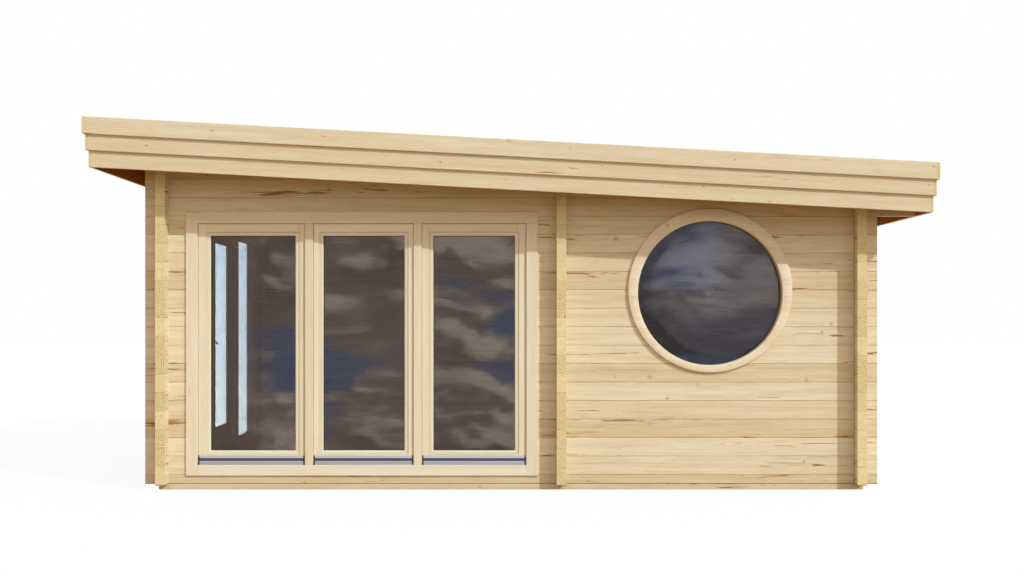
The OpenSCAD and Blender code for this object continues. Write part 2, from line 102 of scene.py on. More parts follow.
def spruce(tree, place, tone, ends, colours, figure=1.0, ring_mm=15.0, rough=0.62,
           resin_at=1.17, knots=1.0, line=None):
    """Finishes a tree as planed spruce.

    place is a vector in mm from the heart of the tree: along, across and through the board.
    tone is the board's own shade from 0 to 1, ends is 1 on the cut ends, knots scales their
    radius, and line is 1 in a glued or laid joint and where shade is painted, all drawn in the
    streak colour.
    """
    pale, honey, streak_brown, knot_brown, end_pale, end_dark = [linear(c) for c in colours]
    flat = add(tree, SPLIT, {0: place})

    # Knots: one in about a third of the cells, dark and up to 6 mm in radius, or wide and faint
    cell_mm = 230.0
    slid = add(tree, MATHS, {0: flat[2], 1: 1.7, 2: flat[1]}, operation="MULTIPLY_ADD")[0]
    face = add(tree, "ShaderNodeCombineXYZ", {0: flat[0], 1: slid})[0]
    cells = add(tree, "ShaderNodeTexVoronoi", {"Vector": face, "Scale": 1 / cell_mm},
                voronoi_dimensions="2D")
    chance = add(tree, "ShaderNodeSeparateColor", {0: cells["Color"]})
    dark = add(tree, RANGE, {0: chance[1], 1: 0.50, 2: 0.52, 3: 0.0, 4: 1.0})[0]
    widest = add(tree, RANGE, {0: dark, 1: 0.0, 2: 1.0, 3: 9.0 * knots, 4: 6.0 * knots})[0]
    radius = add(tree, RANGE, {0: chance[0], 1: 0.70, 2: 1.0, 3: 0.0, 4: widest})[0]
    away = add(tree, MATHS, {0: cells["Distance"], 1: cell_mm}, operation="MULTIPLY")[0]
    rim = add(tree, MATHS, {0: radius, 1: away}, operation="SUBTRACT")[0]
    solid = add(tree, RANGE, {0: dark, 1: 0.0, 2: 1.0, 3: 0.30, 4: 1.0})[0]
    knot = add(tree, RANGE, {0: rim, 1: 0.0, 2: 1.2, 3: 0.0, 4: solid})[0]
    halo = add(tree, RANGE, {0: rim, 1: -26.0, 2: 0.0, 3: 0.0, 4: 9.0},
               interpolation_type="SMOOTHSTEP")[0]
    halo = add(tree, MATHS, {0: halo, 1: radius}, operation="MULTIPLY")[0]
    bow = add(tree, MATHS, {0: halo, 1: 0.25}, operation="MULTIPLY")[0]

    # Waves, fibres, patches of colour and resin streaks are noise drawn out along the board, each
    # to its own length and width in mm. Resin comes in clusters about a metre long.
    drawn = {}
    for kind, length, width, look in (
            ("wave", 800, 110, {"Detail": 2.0}),
            ("fibre", 260, 6, {"Detail": 4.0, "Roughness": 0.65}),
            ("patch", 620, 42, {"Detail": 2.0, "Distortion": 0.4}),
            ("resin", 300, 18, {"Detail": 2.5, "Distortion": 0.7}),
            ("cluster", 1000, 70, {"Detail": 0.0})):
        scaled = add(tree, VECTOR, {0: place, 1: (1 / length, 1 / width, 1 / width)},
                     operation="MULTIPLY")[0]
        drawn[kind] = add(tree, NOISE, {"Vector": scaled, "Scale": 1.0, **look})[0]

    # Growth rings round the heart, bent by the waves and by the knots
    across = add(tree, VECTOR, {0: place, 1: (0.0, 1.0, 1.0)}, operation="MULTIPLY")[0]
    out = add(tree, VECTOR, {0: across}, operation="LENGTH")["Value"]
    out = add(tree, MATHS, {0: drawn["wave"], 1: 34.0, 2: out}, operation="MULTIPLY_ADD")[0]
    out = add(tree, MATHS, {0: out, 1: bow}, operation="ADD")[0]
    count = add(tree, MATHS, {0: out, 1: 1 / ring_mm}, operation="MULTIPLY")[0]
    year = add(tree, MATHS, {0: count}, operation="FRACT")[0]
    late = add(tree, MATHS, {0: year, 1: 2.6}, operation="POWER")[0]

    # Flames are the bands of a patch, and resin shows where it is thickest
    flame = add(tree, MATHS, {0: drawn["patch"], 1: 11.0}, operation="MULTIPLY")[0]
    flame = add(tree, MATHS, {0: flame}, operation="FRACT")[0]
    flame = add(tree, MATHS, {0: flame, 1: 3.0}, operation="POWER")[0]
    resin = add(tree, MATHS, {0: drawn["cluster"], 1: 0.80, 2: drawn["resin"]},
                operation="MULTIPLY_ADD")[0]
    resin = add(tree, MATHS, {0: tone, 1: 0.05, 2: resin}, operation="MULTIPLY_ADD")[0]
    streak = add(tree, RANGE, {0: resin, 1: resin_at, 2: resin_at + 0.03, 3: 0.0, 4: 0.80})[0]
    core = add(tree, RANGE, {0: resin, 1: resin_at + 0.05, 2: resin_at + 0.08, 3: 0.0, 4: 0.4})[0]

    # How far the wood is from pale to honey
    shade = -0.42
    for source, share in ((late, 0.14), (flame, 0.22), (drawn["fibre"], 0.27),
                          (drawn["patch"], 0.95)):
        shade = add(tree, MATHS, {0: source, 1: share * figure, 2: shade},
                    operation="MULTIPLY_ADD")[0]
    shade = add(tree, MATHS, {0: tone, 1: 0.42, 2: shade}, operation="MULTIPLY_ADD",
                use_clamp=True)[0]
    # The wood is warmer round a knot
    warm = add(tree, RANGE, {0: rim, 1: -16.0, 2: 0.0, 3: 0.0, 4: 0.04})[0]
    warm = add(tree, MATHS, {0: warm, 1: radius}, operation="MULTIPLY")[0]
    streak = add(tree, MATHS, {0: streak, 1: warm}, operation="MAXIMUM")[0]
    heart = add(tree, MIX, {0: dark, BELOW: streak_brown, ABOVE: knot_brown},
                data_type="RGBA")[BLEND]
    wood = pale
    for share, paint in ((shade, honey), (streak, streak_brown), (core, knot_brown),
                         (knot, heart)):
        wood = add(tree, MIX, {0: share, BELOW: wood, ABOVE: paint}, data_type="RGBA")[BLEND]

    # Cut ends show the rings, strongly on some pieces and faintly on others, and never all round
    clear = add(tree, RANGE, {0: tone, 1: 0.35, 2: 0.8, 3: 0.10, 4: 1.50})[0]
    worn = add(tree, NOISE, {"Vector": place, "Scale": 1 / 28, "Detail": 3.0})[0]
    left = add(tree, RANGE, {0: worn, 1: 0.38, 2: 0.60, 3: 1.0, 4: 0.15})[0]
    clear = add(tree, MATHS, {0: clear, 1: left}, operation="MULTIPLY")[0]
    soil = add(tree, RANGE, {0: worn, 1: 0.35, 2: 0.70, 3: 0.0, 4: 0.25})[0]
    ring = add(tree, MATHS, {0: late, 1: clear, 2: soil}, operation="MULTIPLY_ADD",
               use_clamp=True)[0]
    cut = add(tree, MIX, {0: ring, BELOW: end_pale, ABOVE: end_dark}, data_type="RGBA")[BLEND]
    colour = add(tree, MIX, {0: ends, BELOW: wood, ABOVE: cut}, data_type="RGBA")[BLEND]
    if line is not None:
        colour = add(tree, MIX, {0: line, BELOW: colour, ABOVE: streak_brown},
                     data_type="RGBA")[BLEND]

    # Late wood and fibres stand proud by less than a millimetre
    height = add(tree, MATHS, {0: late, 1: 0.5, 2: drawn["fibre"]}, operation="MULTIPLY_ADD")[0]
    grain = add(tree, "ShaderNodeBump",
                {"Strength": 0.35, "Distance": 0.0008, "Height": height})[0]
    surface = add(tree, SURFACE, {"Base Color": colour, "Roughness": rough, "IOR": 1.5,
                                  "Normal": grain, "Specular IOR Level": 0.3})[0]
    add(tree, FINISH, {0: surface})


def board_spruce(name, colours, **look):
    """Spruce for boards that carry their own grain, tone and end attributes."""
    material, tree = new_material(name)
    grain = add(tree, "ShaderNodeAttribute", attribute_name="grain")["Vector"]
    shift = add(tree, "ShaderNodeAttribute", attribute_name="shift")["Vector"]
    place = add(tree, VECTOR, {0: grain, 1: shift}, operation="ADD")[0]
    tone = add(tree, "ShaderNodeAttribute", attribute_name="tone")["Fac"]
    ends = add(tree, "ShaderNodeAttribute", attribute_name="end")["Fac"]
    spruce(tree, place, tone, ends, colours, **look)
    return material


def rounded(u0, v0, u1, v1, arris=0.002, steps=2):
    """A rectangular section with its four arrises taken off in a small arc."""
    corners = ((u1 - arris, v1 - arris, 0), (u0 + arris, v1 - arris, 90),
               (u0 + arris, v0 + arris, 180), (u1 - arris, v0 + arris, 270))
    points = []
    for u, v, first in corners:
        for k in range(steps + 1):
            turn = math.radians(first + 90 * k / steps)
            points.append((u + arris * math.cos(turn), v + arris * math.sin(turn)))
    return points


def outward(mesh):
    """Makes the faces of closed shells point outwards."""
    shell = bmesh.new()
    shell.from_mesh(mesh)
    bmesh.ops.recalc_face_normals(shell, faces=shell.faces)
    shell.to_mesh(mesh)
    shell.free()


class Bars:
    """Boards and bars of one finish, each a closed solid, gathered into one mesh."""

    def __init__(self, seed, tones=(0.0, 1.0)):
        self.chance = random.Random(seed)
        self.tones = tones
        self.points, self.faces = [], []
        self.grain, self.tone, self.end = [], [], []

    def bar(self, start, stop, side, deep, section, mitre=0.0, ease=0.0):
        """Adds a bar from start to stop whose section holds (u, v) steps along side and deep.

        mitre lengthens both ends by that much for each step of u, and ease is the chamfer
        round square-cut ends.
        """
        start, stop = Vector(start), Vector(stop)
        length = (stop - start).length
        way = (stop - start) / length
        mid_u = sum(u for u, v in section) / len(section)
        mid_v = sum(v for u, v in section) / len(section)
        heart = (self.chance.uniform(0, 9000), self.chance.uniform(-60, 60),
                 self.chance.choice((-1, 1)) * self.chance.uniform(30, 110))
        tone = self.chance.uniform(*self.tones)
        if ease:
            stations = [(0, ease), (ease, 0), (length - ease, 0), (length, ease)]
        else:
            stations = [(0, 0), (length, 0)]
        first, count = len(self.points), len(section)
        for at, inset in stations:
            for u, v in section:
                u += max(-inset, min(inset, mid_u - u))
                v += max(-inset, min(inset, mid_v - v))
                run = at + (mitre * u if at else -mitre * u)
                self.points.append(start + way * run + side * u + deep * v)
                self.grain.append((1000 * run + heart[0], 1000 * (u - mid_u) + heart[1],
                                   1000 * (v - mid_v) + heart[2]))
                self.tone.append(tone)
                self.end.append(1.0 if inset else 0.0)
        for k in range(first, first + count * (len(stations) - 1)):
            beside = k + 1 if (k + 1 - first) % count else k + 1 - count
            self.faces.append((k, beside, beside + count, k + count))
        self.faces.append(tuple(range(first, first + count)))
        last = first + count * (len(stations) - 1)
        self.faces.append(tuple(range(last, last + count)))

    def around(self, at, clear, deep, section):
        """Adds four mitred bars round a clear opening. u in the section is out from its edge."""
        s0, z0, s1, z1 = clear
        right = at(1, 0) - at(0, 0)
        for start, stop, side in ((at(s0, z0), at(s0, z1), -right), (at(s1, z0), at(s1, z1), right),
                                  (at(s0, z0), at(s1, z0), -UP), (at(s0, z1), at(s1, z1), UP)):
            self.bar(start, stop, side, deep, section, mitre=1.0)

    def mesh(self, name):
        """The gathered bars as one mesh with its grain, tone and end attributes."""
        mesh = bpy.data.meshes.new(name)
        mesh.from_pydata(self.points, [], self.faces)
        flat = [value for place in self.grain for value in place]
        mesh.attributes.new("grain", "FLOAT_VECTOR", "POINT").data.foreach_set("vector", flat)
        mesh.attributes.new("tone", "FLOAT", "POINT").data.foreach_set("value", self.tone)
        mesh.attributes.new("end", "FLOAT", "POINT").data.foreach_set("value", self.end)
        return mesh


def fit(name, made, material, body, slot, *nodes):
    """Puts a finished mesh or a batch of bars in its place in the assembly."""
    mesh = made.mesh(name) if isinstance(made, Bars) else made
    outward(mesh)
    mesh.materials.clear()
    mesh.materials.append(material)
    piece = bpy.data.objects.new(name, mesh)
    bpy.context.collection.objects.link(piece)
    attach(piece, body)
    if nodes:
        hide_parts(*nodes)
    return piece


def finish_node(material, *nodes):
    """Gives carried-over nodes their finish."""
    for node in nodes:
        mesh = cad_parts[node].data
        mesh.materials.clear()
        mesh.materials.append(material)


# Pale wood, honey wood, resin streak, knot, pale and dark rings on a cut end
BASE_COLOURS = ("#ecdfbe", "#d2ba8e", "#9a6c34", "#68421f", "#ecd8a6", "#b28e54")
base_spruce = board_spruce("planed_base_spruce", BASE_COLOURS)
base_low, base_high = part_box("base_beams_long")
wall_low, wall_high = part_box("front_wall")
wall_t = wall_high[1] - wall_low[1]
end_wall_x = base_high[0]  # outer face of the right end wall
partition_low, partition_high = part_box("partition_front_part")

beam = rounded(0, 0, wall_t, base_high[2], 0.004)
base = Bars(11)
for y in (base_low[1], base_high[1] - wall_t):
    base.bar((base_low[0], y, 0), (base_high[0], y, 0), INTO, UP, beam, ease=0.003)
for x in (-end_wall_x, partition_low[0], end_wall_x - wall_t):
    inner = -wall_high[1]
    base.bar((x, -inner, 0), (x, inner, 0), RIGHT, UP, beam, ease=0.001)
fit("base_beams", base, base_spruce, "cabin", "base_wood", "base_beams_long", "base_beams_cross")

joist_low, joist_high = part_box("floor_joists")
JOIST_W = 0.045
LOUNGE_JOISTS, LOUNGE_STEP = 6, 0.53
SAUNA_JOISTS, SAUNA_STEP = 4, 0.646
END_GAP = 0.06
joists = Bars(12)
joist = rounded(0, 0, JOIST_W, joist_high[2], 0.002)
rows = [(joist_low[0], LOUNGE_JOISTS, LOUNGE_STEP),
        (partition_high[0] + END_GAP, SAUNA_JOISTS, SAUNA_STEP)]
for first, count, step in rows:
    for k in range(count):
        x = first + k * step
        joists.bar((x, joist_low[1], 0), (x, joist_high[1], 0), RIGHT, UP, joist, ease=0.001)
fit("joists", joists, base_spruce, "cabin", "base_wood", "floor_joists")

# ---- Log walls ----
# Planed spruce wall logs, laid up dry on tongues with interlocking crossings and a fine V at
# each joint. Left bare: each log has its own shade, a few small knots and brown resin streaks.

COURSE = 0.135
FOOT_LINE = base_high[2] + 0.004  # top of the shade painted along the lowest edge of the walls
CORNER_INSET = 0.015


def log_spruce(name, along, heart, joint_z, colours, course=COURSE, joint_mm=0.0, corner=None,
               **look):
    """Spruce for stacked courses: each course of that height is a log of its own.

    along is the axis of the logs, 0 or 1, heart the middle of the wall on the other axis,
    joint_z the height of one joint and joint_mm the half width of a drawn joint line, which
    also brings shade painted along the foot of the wall. corner is where a cross wall's log
    ends leave the front wall, and shade is painted on their side faces turned away from the
    key light next to it.
    """
    material, tree = new_material(name)
    coords = add(tree, "ShaderNodeTexCoord")
    at = add(tree, SPLIT, {0: coords["Object"]})
    facing = add(tree, SPLIT, {0: coords["Normal"]})
    level = add(tree, MATHS, {0: at[2], 1: joint_z}, operation="SUBTRACT")[0]
    level = add(tree, MATHS, {0: level, 1: 1 / course}, operation="MULTIPLY")[0]
    index = add(tree, MATHS, {0: level}, operation="FLOOR")[0]
    part = add(tree, MATHS, {0: level}, operation="FRACT")[0]
    own = add(tree, "ShaderNodeTexWhiteNoise", {"Vector": (0.0, heart, 0.0), "W": index},
              noise_dimensions="4D")
    chance = add(tree, "ShaderNodeSeparateColor", {0: own["Color"]})
    # Distance along in mm, with its own start for each log
    start = add(tree, MATHS, {0: own["Value"], 1: 9000.0}, operation="MULTIPLY")[0]
    run = add(tree, MATHS, {0: at[along], 1: 1000.0, 2: start}, operation="MULTIPLY_ADD")[0]
    # Height and depth in mm from the heart, which lies up to 55 mm off the log's middle
    part = add(tree, MATHS, {0: part, 1: 0.5}, operation="SUBTRACT")[0]
    off = add(tree, RANGE, {0: chance[0], 1: 0.0, 2: 1.0, 3: -55.0, 4: 55.0})[0]
    rise = add(tree, MATHS, {0: part, 1: course * 1000, 2: off}, operation="MULTIPLY_ADD")[0]
    # The heart lies 28 to 60 mm off the middle of the thickness, on either side
    side = add(tree, MATHS, {0: chance[1], 1: 0.5}, operation="SUBTRACT")[0]
    sign = add(tree, MATHS, {0: side}, operation="SIGN")[0]
    off = add(tree, MATHS, {0: sign, 1: 28.0}, operation="MULTIPLY")[0]
    off = add(tree, MATHS, {0: side, 1: 64.0, 2: off}, operation="MULTIPLY_ADD")[0]
    deep = add(tree, MATHS, {0: at[1 - along], 1: heart}, operation="SUBTRACT")[0]
    deep = add(tree, MATHS, {0: deep, 1: 1000.0, 2: off}, operation="MULTIPLY_ADD")[0]
    place = add(tree, "ShaderNodeCombineXYZ", {0: run, 1: rise, 2: deep})[0]
    end_on = add(tree, MATHS, {0: facing[along]}, operation="ABSOLUTE")[0]
    ends = add(tree, MATHS, {0: end_on, 1: 0.7}, operation="GREATER_THAN")[0]
    line = None
    if joint_mm:
        edge = add(tree, MATHS, {0: part}, operation="ABSOLUTE")[0]
        line = add(tree, RANGE, {0: edge, 1: 0.5 - joint_mm / (course * 1000), 2: 0.5, 3: 0.0,
                                 4: 1.0})[0]
        # The joint opens and closes along its length
        open_at = add(tree, "ShaderNodeCombineXYZ", {0: run, 1: index})[0]
        open_at = add(tree, NOISE, {"Vector": open_at, "Scale": 1 / 300, "Detail": 2.0})[0]
        open_at = add(tree, RANGE, {0: open_at, 1: 0.40, 2: 0.66, 3: 0.05, 4: 0.85})[0]
        line = add(tree, MATHS, {0: line, 1: open_at}, operation="MULTIPLY")[0]
        # Painted shade darkens the lowest edge of the walls, where they meet the base beams
        foot = add(tree, RANGE, {0: at[2], 1: FOOT_LINE, 2: FOOT_LINE + 0.006, 3: 0.85,
                                 4: 0.0})[0]
        line = add(tree, MATHS, {0: line, 1: foot}, operation="MAXIMUM")[0]
    if corner is not None:
        # Painted shade: within about 20 mm of where the log ends leave the front wall, their side
        # faces turned away from the key light are darkened towards the streak colour
        near = add(tree, MATHS, {0: at[1], 1: corner - CORNER_INSET}, operation="SUBTRACT")[0]
        near = add(tree, MATHS, {0: near}, operation="ABSOLUTE")[0]
        painted_corner_shade = add(tree, RANGE, {0: near, 1: 0.010, 2: 0.022, 3: 0.6, 4: 0.0})[0]
        shady = add(tree, MATHS, {0: facing[0], 1: -0.5}, operation="LESS_THAN")[0]
        painted_corner_shade = add(tree, MATHS, {0: painted_corner_shade, 1: shady}, operation="MULTIPLY")[0]
        line = add(tree, MATHS, {0: line, 1: painted_corner_shade}, operation="MAXIMUM")[0]
    spruce(tree, place, chance[2], ends, colours, line=line, **look)
    return material


LOG_COLOURS = ("#f1e7cb", "#ccb587", "#b07c36", "#4a2c14", "#f0dfac", "#a97c38")
LOG_JOINT_MM = 3.5
front_heart = (wall_low[1] + wall_high[1]) / 2
long_joint = base_high[2] + COURSE / 2
for node, heart in (("front_wall", front_heart), ("back_wall", -front_heart)):
    logs = log_spruce(node + "_spruce", 0, heart, long_joint, LOG_COLOURS,
                      joint_mm=LOG_JOINT_MM)
    finish_node(logs, node)

cross_walls = {
    "left": ["left_wall_front_part", "left_wall_back_part", "left_wall_door_logs"],
    "partition": ["partition_front_part", "partition_back_part", "partition_door_logs"],
    "right": ["right_wall"],
}
for side, nodes in cross_walls.items():
    low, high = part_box(nodes[0])
    logs = log_spruce(side + "_wall_spruce", 1, (low[0] + high[0]) / 2, base_high[2], LOG_COLOURS,
                      joint_mm=LOG_JOINT_MM, corner=wall_low[1])
    finish_node(logs, *nodes)

# ---- Floors ----
# Tongued spruce floor boards that run the length of each room, nailed to the joists through
# their tongues. Planed and bare, with a fine V at each joint.

FLOOR_COLOURS = ("#e2cda2", "#c4a678", "#9c7038", "#6a4524", "#e2c890", "#b28e54")
FLOOR_BOARDS = 32
FLOOR_V = 0.002
floor_spruce = board_spruce("planed_floor_spruce", FLOOR_COLOURS)


def new_maker(name, output, **inputs):
    """A geometry node tree with named inputs and one output, and the node of its inputs."""
    tree = bpy.data.node_groups.new(name, "GeometryNodeTree")
    for label, kind in inputs.items():
        tree.interface.new_socket(label, in_out="INPUT", socket_type="NodeSocket" + kind)
    tree.interface.new_socket(output, in_out="OUTPUT", socket_type="NodeSocketGeometry")
    return tree, add(tree, "NodeGroupInput")


def row_of_boards():
    """A node tree that lays a row of boards from one board, each with its own grain and tone."""
    tree, given = new_maker("row_of_boards", "Row", Board="Geometry", Count="Int", Step="Vector",
                            Seed="Int", Finish="Material")
    line = add(tree, "GeometryNodeMeshLine", {"Count": given["Count"], "Offset": given["Step"]},
               mode="OFFSET")[0]
    row = add(tree, "GeometryNodeInstanceOnPoints", {"Points": line, "Instance": given["Board"]})[0]
    shift = add(tree, "FunctionNodeRandomValue",
                {0: (0.0, -60.0, -60.0), 1: (9000.0, 60.0, 60.0), "Seed": given["Seed"]},
                data_type="FLOAT_VECTOR")[0]
    row = add(tree, "GeometryNodeStoreNamedAttribute",
              {"Geometry": row, "Name": "shift", "Value": shift},
              data_type="FLOAT_VECTOR", domain="INSTANCE")[0]
    later = add(tree, MATHS, {0: given["Seed"], 1: 1.0}, operation="ADD")[0]
    tone = add(tree, "FunctionNodeRandomValue", {"Seed": later}, data_type="FLOAT")[1]
    row = add(tree, "GeometryNodeStoreNamedAttribute",
              {"Geometry": row, "Name": "tone", "Value": tone}, data_type="FLOAT",
              domain="INSTANCE")[0]
    row = add(tree, "GeometryNodeRealizeInstances", {0: row})[0]
    row = add(tree, "GeometryNodeSetMaterial", {"Geometry": row, "Material": given["Finish"]})[0]
    add(tree, "NodeGroupOutput", {0: row})
    return tree


def made_by(tree, mesh, **inputs):
    """The plain mesh that a node tree makes from a mesh and its named inputs."""
    source = bpy.data.objects.new("source", mesh)
    bpy.context.collection.objects.link(source)
    modifier = source.modifiers.new("made", "NODES")
    modifier.node_group = tree
    for item in tree.interface.items_tree:
        if item.name in inputs:
            modifier[item.identifier] = inputs[item.name]
    graph = bpy.context.evaluated_depsgraph_get()
    result = bpy.data.meshes.new_from_object(source.evaluated_get(graph))
    source.modifiers.remove(modifier)
    bpy.data.objects.remove(source)
    return result


board_row = row_of_boards()
for seed, node in enumerate(("floor_lounge", "floor_sauna"), 21):
    low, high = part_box(node)
    width = (high[1] - low[1]) / FLOOR_BOARDS
    thick = high[2] - low[2]
    section = [(0, 0), (width, 0), (width, thick - FLOOR_V), (width - FLOOR_V, thick),
               (FLOOR_V, thick), (0, thick - FLOOR_V)]
    one = Bars(seed)
    one.bar(low, (high[0], low[1], low[2]), INTO, UP, section, ease=0.001)
    one_mesh = one.mesh(node + "_board")
    one_mesh.attributes.remove(one_mesh.attributes["tone"])
    boards = made_by(board_row, one_mesh, Count=FLOOR_BOARDS, Step=(0.0, width, 0.0), Seed=seed,
                     Finish=floor_spruce)
    boards.name = node + "_boards"
    fit(node + "_boards", boards, floor_spruce, "cabin", "floor_wood", node)

# ---- Roof timbers ----
# Three planed spruce purlins run the length of the cabin in notches of the cross walls, with
# a joist along each eaves. They follow the fall of the roof, and their ends meet the fascias.

# Darker and more orange than the other spruce: these colours paint the shade under the eaves on the
# roof timbers, roof boards and fascia planks.
SOFFIT_SHADE_COLOURS = ("#b87426", "#8e5210", "#74430f", "#5c3616", "#c9a468", "#8c6430")
soffit_shade_spruce = board_spruce("planed_roof_spruce", SOFFIT_SHADE_COLOURS)
fascia_low, fascia_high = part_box("fascia_front")
deck_low, deck_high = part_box("roof_boards")
roof_x = deck_high[0]  # inner face of the right fascia
deck_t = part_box("roof_insulation")[0][2] - deck_low[2]
slope = (deck_high[2] - deck_low[2] - deck_t) / (2 * roof_x)
DOWN_ROOF = Vector((1, 0, -slope))


def roof_at(x, y, level):
    """A point on the roof, level above the lower edge of the fascia."""
    return Vector((x, y, fascia_low[2] + level + (roof_x - x) * slope))


purlin_low, purlin_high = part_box("purlins")
eaves_low, eaves_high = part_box("eaves_joists")
deck_b = deck_low[2] - fascia_low[2]
purlin_b = purlin_low[2] - fascia_low[2]
PURLIN_W = 0.070
EAVES_W = 0.045
timbers = Bars(31)
places = [(purlin_low[1], PURLIN_W), (-PURLIN_W / 2, PURLIN_W),
          (purlin_high[1] - PURLIN_W, PURLIN_W),
          (eaves_low[1], EAVES_W), (eaves_high[1] - EAVES_W, EAVES_W)]
for y, width in places:
    timbers.bar(roof_at(-roof_x, y, purlin_b), roof_at(roof_x, y, purlin_b), INTO, UP,
                rounded(0, 0, width, deck_b - purlin_b, 0.003), ease=0.001)
fit("roof_timbers", timbers, soffit_shade_spruce, "cabin", "roof_wood", "purlins", "eaves_joists")

# ---- Roof boards ----
# Tongued spruce boards nailed down on the purlins, from front eaves to back. Seen from below
# as the ceiling and the soffit, with a V at each joint.

ROOF_BOARDS = 51
width = 2 * roof_x / ROOF_BOARDS
V_CUT = 0.004
section = [(V_CUT, 0), (width - V_CUT, 0), (width, V_CUT), (width, deck_t), (0, deck_t), (0, V_CUT)]
one = Bars(32)
one.bar(roof_at(-roof_x, deck_low[1], deck_b), roof_at(-roof_x, deck_high[1], deck_b),
        DOWN_ROOF, UP, section, ease=0.001)
one_mesh = one.mesh("roof_board")
one_mesh.attributes.remove(one_mesh.attributes["tone"])
boards = made_by(board_row, one_mesh, Count=ROOF_BOARDS, Step=tuple(DOWN_ROOF * width), Seed=33,
                 Finish=soffit_shade_spruce)
boards.name = "roof_board_row"
fit("roof_board_row", boards, soffit_shade_spruce, "cabin", "roof_wood", "roof_boards")

# ---- Insulation and roof membrane ----
# Rigid foam boards on the roof boards, under a dark rubber sheet. The sheet is laid in lengths
# with glued laps across the fall, and turns up behind the fascias.

foam, tree = new_material("cut_foam_board")
coords = add(tree, "ShaderNodeTexCoord")["Object"]
# Rigid foam is cut from blocks of fused beads: 3 mm beads show on the cut face
beads = add(tree, "ShaderNodeTexVoronoi", {"Vector": coords, "Scale": 1 / 0.003})
tint = add(tree, MIX, {0: beads["Distance"], BELOW: linear("#e6e2d2"), ABOVE: linear("#c9c4b0")},
           data_type="RGBA")[BLEND]
skin = add(tree, "ShaderNodeBump", {"Strength": 0.4, "Distance": 0.0006,
                                    "Height": beads["Distance"]})[0]
add(tree, FINISH, {0: add(tree, SURFACE, {"Base Color": tint, "Roughness": 0.85,
                                          "Normal": skin})[0]})
finish_node(foam, "roof_insulation")

sheet_rubber, tree = new_material("roofing_rubber_sheet")
coords = add(tree, "ShaderNodeTexCoord")["Object"]
# Calendered sheet, dull from chalky dust in patches about 400 mm across, its skin drawn at 6 mm
dust = add(tree, NOISE, {"Vector": coords, "Scale": 2.5, "Detail": 5.0, "Roughness": 0.6})[0]
skin = add(tree, NOISE, {"Vector": coords, "Scale": 160.0, "Detail": 3.0})[0]
tint = add(tree, MIX, {0: dust, BELOW: linear("#2a2b2d"), ABOVE: linear("#515254")},
           data_type="RGBA")[BLEND]
dull = add(tree, RANGE, {0: dust, 1: 0.3, 2: 0.7, 3: 0.55, 4: 0.75})[0]
skin = add(tree, "ShaderNodeBump", {"Strength": 0.3, "Distance": 0.001, "Height": skin})[0]
add(tree, FINISH, {0: add(tree, SURFACE, {"Base Color": tint, "Roughness": dull,
                                          "Normal": skin})[0]})

SHEETS = 6
LAP = 0.08
MEMBRANE_T = 0.0025
UPSTAND = 0.035
membrane_low, membrane_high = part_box("roof_membrane")
membrane_b = membrane_low[2] - fascia_low[2]
sheets = Bars(34)
sheet_l = (2 * roof_x + (SHEETS - 1) * LAP) / SHEETS
eaves_y = membrane_high[1]
for k in range(SHEETS):
    x = -roof_x + k * (sheet_l - LAP)
    # The upper sheet covers the edge of the next one down
    under = membrane_b + (MEMBRANE_T if k % 2 else 0.0)
    sheets.bar(roof_at(x, -eaves_y, under), roof_at(x, eaves_y, under), DOWN_ROOF, UP,
               rounded(0, 0, sheet_l, MEMBRANE_T, 0.001, 1))
for y, side in ((-eaves_y, 1), (eaves_y, -1)):
    sheets.bar(roof_at(-roof_x, y, membrane_b), roof_at(roof_x, y, membrane_b), INTO * side, UP,
               rounded(0, 0, MEMBRANE_T, UPSTAND, 0.001, 1))
for x, side in ((-roof_x, 1), (roof_x - MEMBRANE_T, 1)):
    sheets.bar(roof_at(x, -eaves_y, membrane_b), roof_at(x, eaves_y, membrane_b), DOWN_ROOF, UP,
               rounded(0, 0, MEMBRANE_T, UPSTAND, 0.001, 1))
fit("membrane_sheets", sheets, sheet_rubber, "cabin", "roof_membrane", "roof_membrane")

# ---- Fascias ----
# Three planed spruce boards on each side, each lapped over the one below and packed out from
# behind. Arrises are eased, and the side boards' cut ends show at the corners.

FASCIA_COLOURS = ("#e6dbbd", "#ccb88e", "#b5864a", "#4a2c14", "#e4cf98", "#b8944e")
fascia_spruce = board_spruce("planed_fascia_spruce", FASCIA_COLOURS, resin_at=1.30)
BOARD_EDGES = (0.0, 0.117, 0.230)
BOARD_H = 0.121
board_t = (fascia_high[1] - fascia_low[1]) / 3
fascia_top = BOARD_EDGES[2] + BOARD_H
roof_y = -fascia_high[1]  # inner face of the back fascia
EASED = 0.003
BUTT = 0.0004
TOP_GAP = 0.004
FASCIA_TONES = (0.05, 0.35)


def fascia_levels():
    """Yields the layer, lower and upper level of each board, the packing pieces last."""
    for layer, edge in enumerate(BOARD_EDGES):
        yield layer, edge, edge + BOARD_H
    for layer, edge in enumerate(BOARD_EDGES[:2]):
        yield layer, edge + BOARD_H + BUTT, fascia_top - TOP_GAP


for name, side in (("fascia_front", -1), ("fascia_back", 1)):
    boards = Bars(40 + side, tones=FASCIA_TONES)
    for layer, low, high in fascia_levels():
        y = side * (roof_y + layer * board_t)
        x = roof_x + layer * board_t - BUTT
        boards.bar(roof_at(-x, y, low), roof_at(x, y, low), INTO * side, UP,
                   rounded(0, 0, board_t, high - low, EASED), ease=EASED / 3)
    fit(name + "_boards", boards, fascia_spruce, "cabin", "fascia_wood", name)
for name, side in (("fascia_left", -1), ("fascia_right", 1)):
    boards = Bars(44 + side, tones=FASCIA_TONES)
    for layer, low, high in fascia_levels():
        x = side * (roof_x + layer * board_t)
        y = roof_y + (layer + 1) * board_t
        boards.bar(roof_at(x, -y, low), roof_at(x, y, low), DOWN_ROOF * side, UP,
                   rounded(0, 0, board_t, high - low, EASED), ease=EASED / 2)
    fit(name + "_boards", boards, fascia_spruce, "cabin", "fascia_wood", name)
